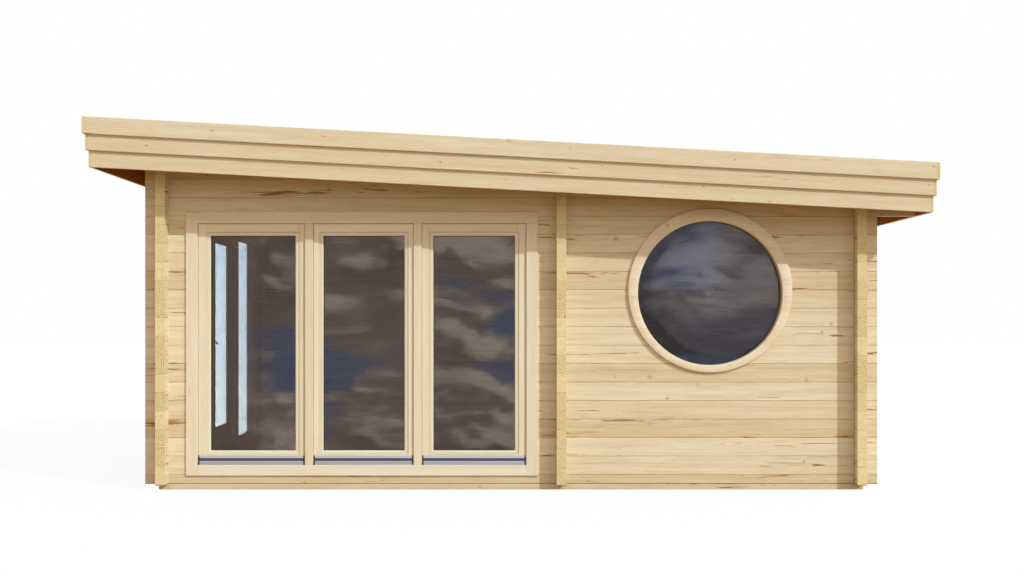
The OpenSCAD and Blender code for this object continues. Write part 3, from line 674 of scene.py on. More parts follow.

# A plank in the darker soffit colours closes the inside of each side fascia, up to the roof
# boards, and paints the deep shade there.
PLANK_T = 0.003
PLANK_GAP = 0.002
planks = Bars(47)
for side in (-1, 1):
    x = side * roof_x
    planks.bar(roof_at(x, -roof_y, PLANK_GAP), roof_at(x, roof_y, PLANK_GAP), DOWN_ROOF * -side,
               UP, rounded(0, 0, PLANK_T, deck_b - 2 * PLANK_GAP, 0.001, 1))
fit("fascia_planks", planks, soffit_shade_spruce, "cabin", "roof_wood")

# ---- Front window frame ----
# A frame of planed pine for three bays: jambs, head, sill and two mullions, with flat casing
# boards that cover the cut log ends. The head casing lies over the jamb casings and the lower
# casing stands between them.

JOINERY_COLOURS = ("#f1e8ce", "#dac8a2", "#b98f58", "#7c5634", "#f2e0b0", "#c8a468")
joinery_pine = board_spruce("planed_joinery_pine", JOINERY_COLOURS, figure=0.8, rough=0.55,
                            resin_at=1.34, knots=0.0)
CASING_W = 0.085
CASING_LAP = 0.045
SASH_GAP = 0.002
frame_low, frame_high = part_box("front_window_frame")
wall_face = wall_low[1]
casing_t = wall_face - frame_low[1]
sash_boxes = [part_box("front_sash_" + which) for which in ("left", "middle", "right")]
sill_z = sash_boxes[0][0][2] - SASH_GAP
head_z = sash_boxes[0][1][2] + SASH_GAP
x0, x1 = frame_low[0], frame_high[0]
z0, z1 = frame_low[2], frame_high[2]


def casing(batch, start, stop, side, deep, width, thick=casing_t):
    """Adds one flat board with eased arrises."""
    batch.bar(start, stop, side, deep, rounded(0, 0, width, thick, 0.003), ease=0.001)


def round_the_window(batch, y):
    """Adds the flat head, side and lower boards whose outer faces stand at y."""
    for start, stop, side, width in (
            ((x0, y, head_z), (x1, y, head_z), UP, CASING_W),
            ((x0, y, z0), (x0, y, head_z), RIGHT, CASING_W),
            ((x1, y, z0), (x1, y, head_z), -RIGHT, CASING_W),
            ((x0 + CASING_W, y, z0), (x1 - CASING_W, y, z0), UP, sill_z - z0)):
        casing(batch, start, stop, side, INTO, width)


casings = Bars(51)
y = frame_low[1]
round_the_window(casings, y)
lap = CASING_LAP
jamb = rounded(lap, 0, CASING_W, wall_t, 0.001)
for x, side in ((x0, RIGHT), (x1, -RIGHT)):
    casings.bar((x, wall_face, z0 + lap), (x, wall_face, z1 - lap), side, INTO, jamb)
for z, side, width in ((z1, -UP, CASING_W), (z0, UP, sill_z - z0)):
    casings.bar((x0 + CASING_W, wall_face, z), (x1 - CASING_W, wall_face, z), side, INTO,
                rounded(lap, 0, width, wall_t, 0.001))
for (_, left), (right, _) in zip(sash_boxes, sash_boxes[1:]):
    start = left[0] + SASH_GAP
    casing(casings, (start, y, sill_z), (start, y, head_z), RIGHT, INTO,
           right[0] - SASH_GAP - start, casing_t + wall_t)
fit("front_window_casings", casings, joinery_pine, "cabin", "joinery_wood", "front_window_frame")

trims = Bars(52)
round_the_window(trims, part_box("front_window_inner_trim")[0][1])
fit("front_window_trims", trims, joinery_pine, "cabin", "joinery_wood", "front_window_inner_trim")

# ---- Front sashes and glazing ----
# Each sash is four pine members, the stiles running through, with a rebate for a sealed double
# pane. Mitred beads hold the pane on a black rubber strip. More black rubber fills the gap
# between sash and frame, and also paints the gap's shade as a dark line.

# Float glass: flat, clear and faintly grey, so it mirrors sharply and darkens the room a little
glass, tree = new_material("clear_float_glass")
add(tree, FINISH, {0: add(tree, SURFACE, {"Base Color": linear("#e8e8e6"), "Roughness": 0.0,
                                          "IOR": 1.52, "Transmission Weight": 1.0})[0]})


def extruded(name, patches, dark, pale, rough):
    """A plain extruded strip whose colour shifts in soft patches, so many to a metre."""
    material, tree = new_material(name)
    coords = add(tree, "ShaderNodeTexCoord")["Object"]
    dust = add(tree, NOISE, {"Vector": coords, "Scale": patches, "Detail": 2.0})[0]
    tint = add(tree, MIX, {0: dust, BELOW: linear(dark), ABOVE: linear(pale)},
               data_type="RGBA")[BLEND]
    add(tree, FINISH, {0: add(tree, SURFACE, {"Base Color": tint, "Roughness": rough})[0]})
    return material


# Bloom in patches of about 30 mm dulls the black strip
rubber = extruded("extruded_black_rubber", 33.0, "#141416", "#2c2c2f", 0.6)

aluminium, tree = new_material("satin_anodised_aluminium")
coords = add(tree, "ShaderNodeTexCoord")["Object"]
# Die lines run the length of the bar: fine across it and long along it, drawn at 2 mm
drawn = add(tree, VECTOR, {0: coords, 1: (2.0, 2.0, 500.0)}, operation="MULTIPLY")[0]
lines = add(tree, NOISE, {"Vector": drawn, "Scale": 1.0, "Detail": 3.0})[0]
dull = add(tree, RANGE, {0: lines, 1: 0.3, 2: 0.7, 3: 0.30, 4: 0.46})[0]
tint = add(tree, MIX, {0: lines, BELOW: linear("#b4b2b6"), ABOVE: linear("#d0ced2")},
           data_type="RGBA")[BLEND]
lines = add(tree, "ShaderNodeBump", {"Strength": 0.15, "Distance": 0.0002, "Height": lines})[0]
add(tree, FINISH, {0: add(tree, SURFACE, {"Base Color": tint, "Roughness": dull, "Metallic": 0.9,
                                          "Normal": lines})[0]})

SHEET_T = 0.004  # one sheet of glass
PANE_T = 0.024
BITE = 0.008  # how far a pane runs into its rebate


class Glazing:
    """The separate batches that a glazed frame is made of."""

    def __init__(self, seed):
        self.wood, self.seals = Bars(seed), Bars(seed + 100)
        self.spacers, self.sheets = Bars(seed + 200), Bars(seed + 300)

    def pane(self, at, clear, deep, inset):
        """A sealed unit behind the clear opening, its outer face inset from the frame's face."""
        s0, z0, s1, z1 = clear
        across = at(1, 0) - at(0, 0)
        for v in (inset, inset + PANE_T - SHEET_T):
            self.sheets.bar(at(s0 - BITE, z0 - BITE), at(s0 - BITE, z1 + BITE), across, deep,
                            rounded(0, v, s1 - s0 + 2 * BITE, v + SHEET_T, 0.0006, 1))
        self.spacers.around(at, clear, deep,
                            rounded(0.001, inset + SHEET_T, 0.007, inset + PANE_T - SHEET_T,
                                    0.0008, 1))
        for v0, v1 in ((inset - 0.003, inset), (inset + PANE_T, inset + PANE_T + 0.003)):
            self.seals.around(at, clear, deep, rounded(-0.0025, v0, 0.006, v1, 0.0008, 1))

    def sash(self, at, deep, outer, members, thick, bead, inset):
        """A framed pane. outer is its left, lower, right and upper edge, members the widths."""
        s0, z0, s1, z1 = outer
        left, lower, right, upper = members
        across = at(1, 0) - at(0, 0)
        inner_l, inner_r = s0 + left - bead, s1 - right + bead
        rails = ((at(s0, z0), at(s0, z1), across, left - bead),
                 (at(s1, z0), at(s1, z1), -across, right - bead),
                 (at(inner_l, z0), at(inner_r, z0), UP, lower - bead),
                 (at(inner_l, z1), at(inner_r, z1), -UP, upper - bead))
        for start, stop, side, width in rails:
            self.wood.bar(start, stop, side, deep, rounded(0, 0, width, thick, 0.003),
                          ease=0.0008)
        clear = (s0 + left, z0 + lower, s1 - right, z1 - upper)
        back = inset + PANE_T
        groove = bead - 0.002
        self.wood.around(at, clear, deep, [
            (groove, 0.005), (0.008, 0.005), (0.004, 0.006), (0.001, 0.009), (0, 0.013),
            (0, inset - 0.001), (groove, inset - 0.001)])
        self.wood.around(at, clear, deep, [
            (0, back + 0.001), (bead + 0.001, back + 0.001), (bead + 0.001, thick - 0.001),
            (0.006, thick - 0.001), (0.001, thick - 0.004), (0, thick - 0.008)])
        self.pane(at, clear, deep, inset)


STILES = ((0.090, 0.071), (0.071, 0.067), (0.082, 0.083))
TOP_RAIL, BOTTOM_RAIL = 0.088, 0.102
BEAD_W = 0.028
sash_t = sash_boxes[0][1][1] - sash_boxes[0][0][1]
sash_face = sash_boxes[0][0][1]
pane_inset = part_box("front_window_glass")[0][1] - sash_face


def on_front(s, z):
    """A point on the face of the front sashes."""
    return Vector((s, sash_face, z))


front = Glazing(60)
# Black seals in the gap round each sash, which also paint the gap's shadow
strips = Bars(66)
for (low, high), (left, right) in zip(sash_boxes, STILES):
    outer = (low[0], low[2], high[0], high[2])
    front.sash(on_front, INTO, outer, (left, BOTTOM_RAIL, right, TOP_RAIL), sash_t, BEAD_W,
               pane_inset)
    strips.around(on_front, outer, INTO, rounded(0.0002, 0.006, 0.0018, 0.016, 0.0004, 1))
fit("front_sashes", front.wood, joinery_pine, "cabin", "joinery_wood", "front_sash_left",
    "front_sash_middle", "front_sash_right")
fit("front_panes", front.sheets, glass, "cabin", "window_glass", "front_window_glass")
fit("front_pane_spacers", front.spacers, aluminium, "cabin", "aluminium")
fit("front_pane_seals", front.seals, rubber, "cabin", "black_steel")
fit("front_sash_seals", strips, rubber, "cabin", "black_steel")

# ---- Drip bars ----
# An extruded aluminium bar throws the rain off the foot of each sash: a sloped nose, a drained
# channel lined with grey vinyl, and a lower lip. The liner's dark colour paints the shade and
# dark reflection in the channel. Black moulded caps close its ends, and the left one has a
# small foot.

black_moulding, tree = new_material("moulded_black_nylon")
coords = add(tree, "ShaderNodeTexCoord")["Object"]
# Spark-eroded mould grain, drawn at 1 mm
pits = add(tree, NOISE, {"Vector": coords, "Scale": 1000.0, "Detail": 1.0})[0]
pits = add(tree, "ShaderNodeBump", {"Strength": 0.3, "Distance": 0.0002, "Height": pits})[0]
add(tree, FINISH, {0: add(tree, SURFACE, {"Base Color": linear("#1b1b1e"), "Roughness": 0.45,
                                          "Normal": pits})[0]})

# Dark grey-blue for painted shade and reflection in the channel, with dust in patches of
# about 20 mm
vinyl = extruded("extruded_grey_vinyl", 50.0, "#454b52", "#596068", 0.5)

# Steps out from the sash and up from the sill, in metres, for the bar and for its end caps
DRIP_SECTION = [(0, 0), (0, 0.001), (0.0118, 0.001), (0.0120, 0.003), (0.0108, 0.013),
                (0.0090, 0.0145), (0.0108, 0.016), (0.0108, 0.0200), (0.0080, 0.0280),
                (0.0020, 0.0286), (0.0020, 0.0475), (0.0070, 0.0490), (0.0115, 0.0495),
                (0.0118, 0.0515), (0.0030, 0.0685), (0, 0.069)]
CAP_SECTION = [(0, 0), (0.012, 0), (0.012, 0.032), (0.0055, 0.034), (0.0055, 0.043),
               (0.012, 0.046), (0.012, 0.054), (0.006, 0.067), (0, 0.069)]
CHANNEL_STRIP = rounded(0.0020, 0.0290, 0.0045, 0.0473, 0.0006, 1)
CAP_T = 0.007


def drip_bar(bars, strips, caps, start, stop, out):
    """Adds a bar from start to stop with a cap at each end. out points away from the sash."""
    way = (stop - start).normalized()
    inner_start, inner_stop = start + way * CAP_T, stop - way * CAP_T
    bars.bar(inner_start, inner_stop, out, UP, DRIP_SECTION[1:])
    strips.bar(inner_start, inner_stop, out, UP, CHANNEL_STRIP)
    for end, side in ((start, 1), (stop, -1)):
        caps.bar(end, end + way * side * CAP_T, out, UP, CAP_SECTION)


drip_low, drip_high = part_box("front_drip_bars")
DRIP_END = 0.006
FOOT_L = 0.007
foot = rounded(0, 0, 0.012, 0.012, 0.002, 1)
bars, caps, liners = Bars(71), Bars(72), Bars(73)
for low, high in sash_boxes:
    inset = DRIP_END - SASH_GAP
    start = Vector((low[0] + inset, drip_high[1], drip_low[2]))
    stop = Vector((high[0] - inset, drip_high[1], drip_low[2]))
    drip_bar(bars, liners, caps, start, stop, -INTO)
    caps.bar(start - RIGHT * FOOT_L, start, -INTO, UP, foot)
fit("front_drip_liners", liners, vinyl, "cabin", "black_steel")
fit("front_drip_sections", bars, aluminium, "cabin", "aluminium", "front_drip_bars")
fit("front_drip_caps", caps, black_moulding, "cabin", "black_steel")

# ---- Round window ----
# A ring cut from glued horizontal boards lies on the wall, over a wooden sleeve that lines the
# hole. The fixed double pane sits at the inner face, bedded on black rubber.

TURNS = 160
# Tinted in the melt, so the room behind it looks cooler and darker
grey_glass, tree = new_material("grey_tinted_float_glass")
add(tree, FINISH, {0: add(tree, SURFACE, {"Base Color": linear("#d2d2dc"), "Roughness": 0.0,
                                          "IOR": 1.52, "Transmission Weight": 1.0})[0]})


def round_mesh(name, section, closed):
    """Sweeps rings round an axis along Y. section holds (x, z) centre, radius and y."""
    points, faces = [], []
    for centre, radius, y in section:
        for k in range(TURNS):
            turn = 2 * math.pi * k / TURNS
            points.append((centre[0] + radius * math.cos(turn), y,
                           centre[1] + radius * math.sin(turn)))
    rows = len(section)
    for row in range(rows if closed else rows - 1):
        for k in range(TURNS):
            beside = (k + 1) % TURNS
            here, there = row * TURNS, (row + 1) % rows * TURNS
            faces.append((here + k, here + beside, there + beside, there + k))
    if not closed:
        faces.append(tuple(range(TURNS)))
        faces.append(tuple(range((rows - 1) * TURNS, rows * TURNS)))
    mesh = bpy.data.meshes.new(name)
    mesh.from_pydata(points, [], faces)
    mesh.shade_smooth()
    mesh.set_sharp_from_angle(angle=math.radians(50))
    return mesh


RING_COLOURS = ("#f5ebd2", "#e2d0aa", "#b98f58", "#7c5634", "#f2e0b0", "#c8a468")
RING_BOARD = 0.118
RING_JOINT_MM = 2.2
LOWEST_JOINT = 0.35  # of a board's width, under the middle of the ring
SLEEVE_T = 0.034
PANE_LAP = 0.012
ring_low, ring_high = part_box("round_window_ring")
sleeve_low, sleeve_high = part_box("round_window_sleeve")
ring_x = (ring_low[0] + ring_high[0]) / 2
ring_mid = (ring_x, (ring_low[2] + ring_high[2]) / 2)
pane_mid = (ring_x, (sleeve_low[2] + sleeve_high[2]) / 2)
ring_r = (ring_high[0] - ring_low[0]) / 2
pane_r = (sleeve_high[0] - sleeve_low[0]) / 2 - SLEEVE_T
ring_spruce = log_spruce("glued_ring_spruce", 0, front_heart,
                         ring_mid[1] - RING_BOARD * LOWEST_JOINT, RING_COLOURS,
                         course=RING_BOARD, joint_mm=RING_JOINT_MM, figure=0.9, resin_at=1.34)


def ring_section(outer_mid, outer_r, inner_mid, inner_r, y0, y1, arris):
    """A flat ring from y0 to y1 with its arrises eased."""
    soft = arris * 0.3
    return [(outer_mid, outer_r - arris, y0), (outer_mid, outer_r - soft, y0 + soft),
            (outer_mid, outer_r, y0 + arris), (outer_mid, outer_r, y1 - arris),
            (outer_mid, outer_r - arris, y1), (inner_mid, inner_r + arris, y1),
            (inner_mid, inner_r, y1 - arris), (inner_mid, inner_r, y0 + arris),
            (inner_mid, inner_r + soft, y0 + soft), (inner_mid, inner_r + arris, y0)]


mesh = round_mesh("round_ring", ring_section(ring_mid, ring_r, pane_mid, pane_r, ring_low[1],
                                             ring_high[1], 0.004), True)
fit("round_ring", mesh, ring_spruce, "cabin", "joinery_wood", "round_window_ring")
low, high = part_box("round_window_inner_ring")
inner_mid = (ring_x, (low[2] + high[2]) / 2)
mesh = round_mesh("round_inner_ring", ring_section(inner_mid, ring_r, pane_mid, pane_r, low[1],
                                                   high[1], 0.003), True)
fit("round_inner_ring", mesh, ring_spruce, "cabin", "joinery_wood", "round_window_inner_ring")
glass_low, glass_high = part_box("round_window_glass")
front_of_pane = glass_low[1]
mesh = round_mesh("round_sleeve", ring_section(pane_mid, pane_r + SLEEVE_T, pane_mid, pane_r,
                                               sleeve_low[1], front_of_pane, 0.0015), True)
fit("round_sleeve", mesh, ring_spruce, "cabin", "joinery_wood", "round_window_sleeve")
rim = pane_r + PANE_LAP
for name, y0, y1 in (("outer", front_of_pane, front_of_pane + SHEET_T),
                     ("inner", glass_high[1] - SHEET_T, glass_high[1])):
    disc = [(pane_mid, rim - 0.001, y0), (pane_mid, rim, y0 + 0.001),
            (pane_mid, rim, y1 - 0.001), (pane_mid, rim - 0.001, y1)]
    fit("round_pane_" + name, round_mesh("round_pane_" + name, disc, False), grey_glass, "cabin",
        "window_glass", *(["round_window_glass"] if name == "outer" else []))
mesh = round_mesh("round_pane_spacer", ring_section(
    pane_mid, rim - 0.002, pane_mid, pane_r + 0.002, front_of_pane + SHEET_T,
    glass_high[1] - SHEET_T, 0.001), True)
fit("round_pane_spacer", mesh, aluminium, "cabin", "aluminium")
mesh = round_mesh("round_pane_seal", ring_section(
    pane_mid, pane_r + 0.002, pane_mid, pane_r - 0.004, front_of_pane - 0.004, front_of_pane,
    0.001), True)
fit("round_pane_seal", mesh, rubber, "cabin", "black_steel")

# ---- Entrance frame ----
# Pine jambs, post, head and a lower rail in the left end wall, rebated for a door that opens
# outwards. Flat casings cover the cut logs outside, and trims do so inside.

ACROSS = Vector((0, 1, 0))  # along the end wall, from front to back
DEEP = Vector((1, 0, 0))  # from the outside of the end wall into the room
entry_low, entry_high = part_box("entrance_frame")
leaf_low, leaf_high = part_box("door_leaf")
light_low, light_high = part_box("side_light_glass")
trim_low, trim_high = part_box("entrance_inner_trim")
sill_top, sill_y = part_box("entrance_threshold")[1][2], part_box("entrance_threshold")[1][1]
REBATE = 0.015
HEAD_REBATE = 0.012
JAMB = CASING_W - CASING_LAP
door_y0, door_y1 = entry_low[1] + CASING_W, sill_y - REBATE
light = (light_low[1] + PANE_LAP, light_low[2] + PANE_LAP,
         light_high[1] - PANE_LAP, light_high[2] - PANE_LAP)
entry_head = light[3]
floor_z = entry_low[2]
face_x, wall_x = entry_low[0], -end_wall_x
stop_x = leaf_high[0]
inner_x = entry_high[0]
entry_casing_t = wall_x - face_x


def on_entry(s, z):
    """A point on the outer face of the entrance casings."""
    return Vector((face_x, s, z))


entry = Glazing(80)
wood = entry.wood
y0, y1, top = entry_low[1], entry_high[1], entry_high[2]
post_y0, post_y1 = door_y1 + REBATE, light[0]
over_door = entry_head + HEAD_REBATE
# Head, strip over the side light, two sides, post, and panel under the side light
for start, stop, side, width in (
        ((y0, over_door), (y1, over_door), UP, top - over_door),
        ((light[0], entry_head), (light[2], entry_head), UP, HEAD_REBATE),
        ((y0, floor_z), (y0, over_door), ACROSS, CASING_W - REBATE),
        ((y1, floor_z), (y1, over_door), -ACROSS, CASING_W),
        ((post_y0, floor_z), (post_y0, over_door), ACROSS, post_y1 - post_y0),
        ((light[0], floor_z), (light[2], floor_z), UP, light[1] - floor_z)):
    casing(wood, on_entry(*start), on_entry(*stop), side, DEEP, width, entry_casing_t)
step, depth = stop_x - wall_x, inner_x - wall_x


def rebated(rebate, width):
    """A member of that width with a step for the door to close on."""
    return [(rebate, 0), (width, 0), (width, depth), (0.002, depth), (0, depth - 0.002),
            (0, step), (rebate, step)]


# Door jamb, side light's jamb, post, door head, side light's head and sill
jamb_top = entry_head + JAMB
plain = rounded(0, 0, JAMB, depth)
for start, stop, side, section in (
        ((door_y0, floor_z), (door_y0, jamb_top), -ACROSS, rebated(REBATE, JAMB)),
        ((light[2], floor_z), (light[2], jamb_top), ACROSS, plain),
        ((door_y1, floor_z), (door_y1, entry_head), ACROSS, rebated(REBATE, post_y1 - door_y1)),
        ((door_y0, entry_head), (post_y1, entry_head), UP, rebated(HEAD_REBATE, JAMB)),
        ((post_y1, entry_head), (light[2], entry_head), UP, plain),
        ((post_y1, floor_z), (light[2], floor_z), UP, rounded(0, 0, light[1] - floor_z, depth))):
    wood.bar((wall_x, *start), (wall_x, *stop), side, DEEP, section)

# The side light is fixed: its pane is bedded straight on the frame between mitred beads.
light_inset = light_low[0] - face_x
LIGHT_BEAD = 0.012
in_beads = (light[0] + LIGHT_BEAD, light[1] + LIGHT_BEAD, light[2] - LIGHT_BEAD,
            light[3] - LIGHT_BEAD)
for v0, v1 in ((light_inset - 0.016, light_inset - 0.001),
               (light_inset + PANE_T + 0.001, inner_x - face_x - 0.001)):
    wood.around(on_entry, in_beads, DEEP, rounded(0, v0, LIGHT_BEAD, v1, 0.003))
entry.pane(on_entry, in_beads, DEEP, light_inset)
fit("entrance_joinery", wood, joinery_pine, "cabin", "joinery_wood", "entrance_frame")
fit("side_light_pane", entry.sheets, glass, "cabin", "window_glass", "side_light_glass")
fit("side_light_spacer", entry.spacers, aluminium, "cabin", "aluminium")
fit("side_light_seal", entry.seals, rubber, "cabin", "black_steel")

trims = Bars(85)
x, trim_t = trim_low[0], trim_high[0] - trim_low[0]


def on_trim(s, z):
    """A point on the inner face of the end wall."""
    return Vector((x, s, z))


y0, y1, top = trim_low[1], trim_high[1], trim_high[2]
casing(trims, on_trim(y0, entry_head), on_trim(y1, entry_head), UP, DEEP, top - entry_head,
       trim_t)
for start, side, width in ((y0, ACROSS, door_y0 - y0), (y1, -ACROSS, y1 - light[2]),
                           (door_y1, ACROSS, light[0] - door_y1)):
    casing(trims, on_trim(start, floor_z), on_trim(start, entry_head), side, DEEP, width, trim_t)
casing(trims, on_trim(light[0], floor_z), on_trim(light[2], floor_z), UP, DEEP,
       light[1] - floor_z, trim_t)
fit("entrance_trims", trims, joinery_pine, "cabin", "joinery_wood", "entrance_inner_trim")

# ---- Threshold ----
# A pine sill on the floor between the jambs, under an aluminium cover that is ribbed for grip
# and has a raised stop that the door closes on.

RIB = 0.006
COVER_T = 0.010
TREAD = COVER_T - 0.003  # level of the ribbed part, which the stop rises above
cover_z = sill_top - COVER_T
sill_parts = ((face_x, stop_x, REBATE), (stop_x, inner_x, 0.0))
sill_boards = Bars(89)
for x0, x1, more in sill_parts:
    sill_boards.bar((x0, door_y0 - more, floor_z), (x0, door_y1 + more, floor_z), DEEP, UP,
                    rounded(0, 0, x1 - x0, cover_z - floor_z, 0.001, 1))
fit("threshold_boards", sill_boards, joinery_pine, "cabin", "joinery_wood")
outer_l, inner_l = stop_x - face_x, inner_x - stop_x
outer_part = [(0, 0), (0, TREAD - 0.003), (0.003, TREAD)]
u = RIB
while u < outer_l - 0.004:
    outer_part += [(u, TREAD), (u + RIB / 4, TREAD + 0.0015), (u + RIB / 2, TREAD)]
    u += RIB
outer_part += [(outer_l, TREAD), (outer_l, 0)]
inner_part = [(0, 0), (0, COVER_T - 0.001), (0.001, COVER_T), (inner_l - 0.004, COVER_T),
              (inner_l, COVER_T - 0.004), (inner_l, 0)]
sill = Bars(90)
for (x0, _, more), section in zip(sill_parts, (outer_part, inner_part)):
    sill.bar((x0, door_y0 - more, cover_z), (x0, door_y1 + more, cover_z), DEEP, UP, section)
fit("threshold_sill", sill, aluminium, "cabin", "aluminium", "entrance_threshold")

# ---- Doorway lining ----
# Three planed pine boards line the opening in the partition and hide the cut logs, with the
# head over the two sides.

low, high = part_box("partition_lining")
LINING_T = 0.030
lining = Bars(91)
width = high[0] - low[0]
lining.bar((low[0], low[1], high[2]), (low[0], high[1], high[2]), RIGHT, -UP,
           rounded(0, 0, width, LINING_T, 0.003), ease=0.001)
for y, side in ((low[1], INTO), (high[1], -INTO)):
    lining.bar((low[0], y, low[2]), (low[0], y, high[2] - LINING_T), RIGHT, side,
               rounded(0, 0, width, LINING_T, 0.003), ease=0.001)
fit("lining_boards", lining, joinery_pine, "cabin", "joinery_wood", "partition_lining")

# ---- Door leaf ----
# A glazed door of four pine members with a deep bottom rail, a sealed double pane in mitred
# beads, and a drip bar low on its outer face.

door_glass_low, door_glass_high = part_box("door_glass")
clear = (door_glass_low[1] + PANE_LAP, door_glass_low[2] + PANE_LAP,
         door_glass_high[1] - PANE_LAP, door_glass_high[2] - PANE_LAP)
outer = (leaf_low[1], leaf_low[2], leaf_high[1], leaf_high[2])
members = (clear[0] - outer[0], clear[1] - outer[1], outer[2] - clear[2], outer[3] - clear[3])
leaf_t = leaf_high[0] - leaf_low[0]
DOOR_BEAD = 0.018
DOOR_PANE_INSET = 0.009
door = Glazing(92)


def on_leaf(s, z):
    """A point on the outer face of the door."""
    return Vector((leaf_low[0], s, z))


door.sash(on_leaf, DEEP, outer, members, leaf_t, DOOR_BEAD, DOOR_PANE_INSET)
fit("door_members", door.wood, joinery_pine, "door", "joinery_wood", "door_leaf")
fit("door_pane", door.sheets, glass, "door", "window_glass", "door_glass")
fit("door_pane_spacer", door.spacers, aluminium, "door", "aluminium")
fit("door_pane_seal", door.seals, rubber, "door", "black_steel")

low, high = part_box("door_drip_bar")
bars, caps, liners = Bars(96), Bars(97), Bars(101)
drip_bar(bars, liners, caps, Vector((high[0], low[1], low[2])),
         Vector((high[0], high[1], low[2])), -DEEP)
fit("door_drip_liner", liners, vinyl, "door", "black_steel")
fit("door_drip_section", bars, aluminium, "door", "aluminium", "door_drip_bar")
fit("door_drip_caps", caps, black_moulding, "door", "black_steel")

# ---- Hinges and their screws ----
# Lift-off steel hinges, zinc plated: the pin stands on the frame half. Two dome-headed screws
# hold each plate.

zinc, tree = new_material("zinc_plated_steel")
coords = add(tree, "ShaderNodeTexCoord")["Object"]
# Spangle of the plating in flakes of 3 mm
flakes = add(tree, "ShaderNodeTexVoronoi", {"Vector": coords, "Scale": 330.0})
dull = add(tree, RANGE, {0: flakes["Distance"], 1: 0.0, 2: 1.0, 3: 0.28, 4: 0.5})[0]
add(tree, FINISH, {0: add(tree, SURFACE, {"Base Color": linear("#bfc2c6"), "Metallic": 1.0,
                                          "Roughness": dull})[0]})
finish_node(zinc, "door_hinge_halves", "frame_hinge_halves")


def screws_on_points():
    """A node tree that sets a screw head on each point, each turned by its own amount."""
    tree, given = new_maker("screws_on_points", "Screws", Places="Geometry", Screw="Object",
                            Seed="Int", Finish="Material")
    screw = add(tree, "GeometryNodeObjectInfo", {"Object": given["Screw"]})["Geometry"]
    turn = add(tree, "FunctionNodeRandomValue",
               {0: (0.0, 0.0, 0.0), 1: (math.pi, 0.0, 0.0), "Seed": given["Seed"]},
               data_type="FLOAT_VECTOR")[0]
    heads = add(tree, "GeometryNodeInstanceOnPoints",
                {"Points": given["Places"], "Instance": screw, "Rotation": turn})[0]
    heads = add(tree, "GeometryNodeRealizeInstances", {0: heads})[0]
    heads = add(tree, "GeometryNodeSetMaterial",
                {"Geometry": heads, "Material": given["Finish"]})[0]
    add(tree, "NodeGroupOutput", {0: heads})
    return tree


def screw_head(radius, proud):
    """A domed screw head with a cross recess, its axis along X and its top towards -X."""
    shell = bmesh.new()
    bmesh.ops.create_uvsphere(shell, u_segments=16, v_segments=8, radius=radius)
    for vertex in shell.verts:
        x, y, z = vertex.co
        dome = max(0.0, z) * proud / radius
        # The recess is two crossed slots, deepest in the middle
        slot = min(abs(x), abs(y)) < radius * 0.22 and max(abs(x), abs(y)) < radius * 0.6
        vertex.co = (-(dome - (0.5 * proud if slot and z > 0 else 0.0)), x, y)
        if z < 0:
            vertex.co.x = 0.0004
    mesh = bpy.data.meshes.new("screw_head")
    shell.to_mesh(mesh)
    shell.free()
    head = bpy.data.objects.new("screw_head", mesh)
    bpy.context.collection.objects.link(head)
    return head


def points_mesh(points):
    """A mesh of bare points."""
    mesh = bpy.data.meshes.new("screw_places")
    mesh.from_pydata(points, [], [])
    return mesh


screw_tree = screws_on_points()
head = screw_head(0.0045, 0.0016)
PLATE_W = 0.028
HINGE_LEVELS = (0.280, 1.000, 1.720)
SCREW_LEVELS = (0.012, 0.038)  # up from the foot of a plate
SCREW_OUT = 0.018  # from the pin
UPPER_HALF = 0.0505  # how far the door's half stands above the frame's
for node, side, body in (("door_hinge_halves", -1, "door"), ("frame_hinge_halves", 1, "cabin")):
    low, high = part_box(node)
    pin_y = low[1] + PLATE_W if side < 0 else high[1] - PLATE_W
    lift = UPPER_HALF if side < 0 else 0.0
    points = [(leaf_low[0] - 0.003, pin_y + side * SCREW_OUT, z + lift + dz)
              for z in HINGE_LEVELS for dz in SCREW_LEVELS]
    screws = made_by(screw_tree, points_mesh(points), Screw=head, Seed=98, Finish=zinc)
    screws.name = node + "_screws"
    fit(node + "_screws", screws, zinc, body, "aluminium")

# ---- Door handles ----
# A lever on a long plate on each face, bent from round bar, in satin black powder coat, with a
# lock barrel below.

powder_coat, tree = new_material("satin_black_powder_coat")
coords = add(tree, "ShaderNodeTexCoord")["Object"]
# Orange peel of the coat at 1.5 mm
peel = add(tree, NOISE, {"Vector": coords, "Scale": 660.0, "Detail": 1.0})[0]
worn = add(tree, NOISE, {"Vector": coords, "Scale": 40.0, "Detail": 3.0})[0]
dull = add(tree, RANGE, {0: worn, 1: 0.3, 2: 0.7, 3: 0.32, 4: 0.44})[0]
peel = add(tree, "ShaderNodeBump", {"Strength": 0.2, "Distance": 0.0003, "Height": peel})[0]
add(tree, FINISH, {0: add(tree, SURFACE, {"Base Color": linear("#17171a"), "Roughness": dull,
                                          "Normal": peel})[0]})

handle_low, handle_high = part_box("door_handles")
PLATE = (0.032, 0.205, 0.005)
PLATE_FOOT = 0.150  # from the lever's axis down to the foot of the plate
LOCK_DROP = 0.092
LEVER_R, LEVER_DROOP = 0.0075, 0.014
COLLAR_R, COLLAR_SIDES = 0.013, 24
handle_y = handle_low[1] + PLATE[0] / 2
handle_z = handle_high[2] - 0.055
neck = leaf_low[0] - handle_low[0] - LEVER_R
reach = handle_high[1] - handle_y - LEVER_R


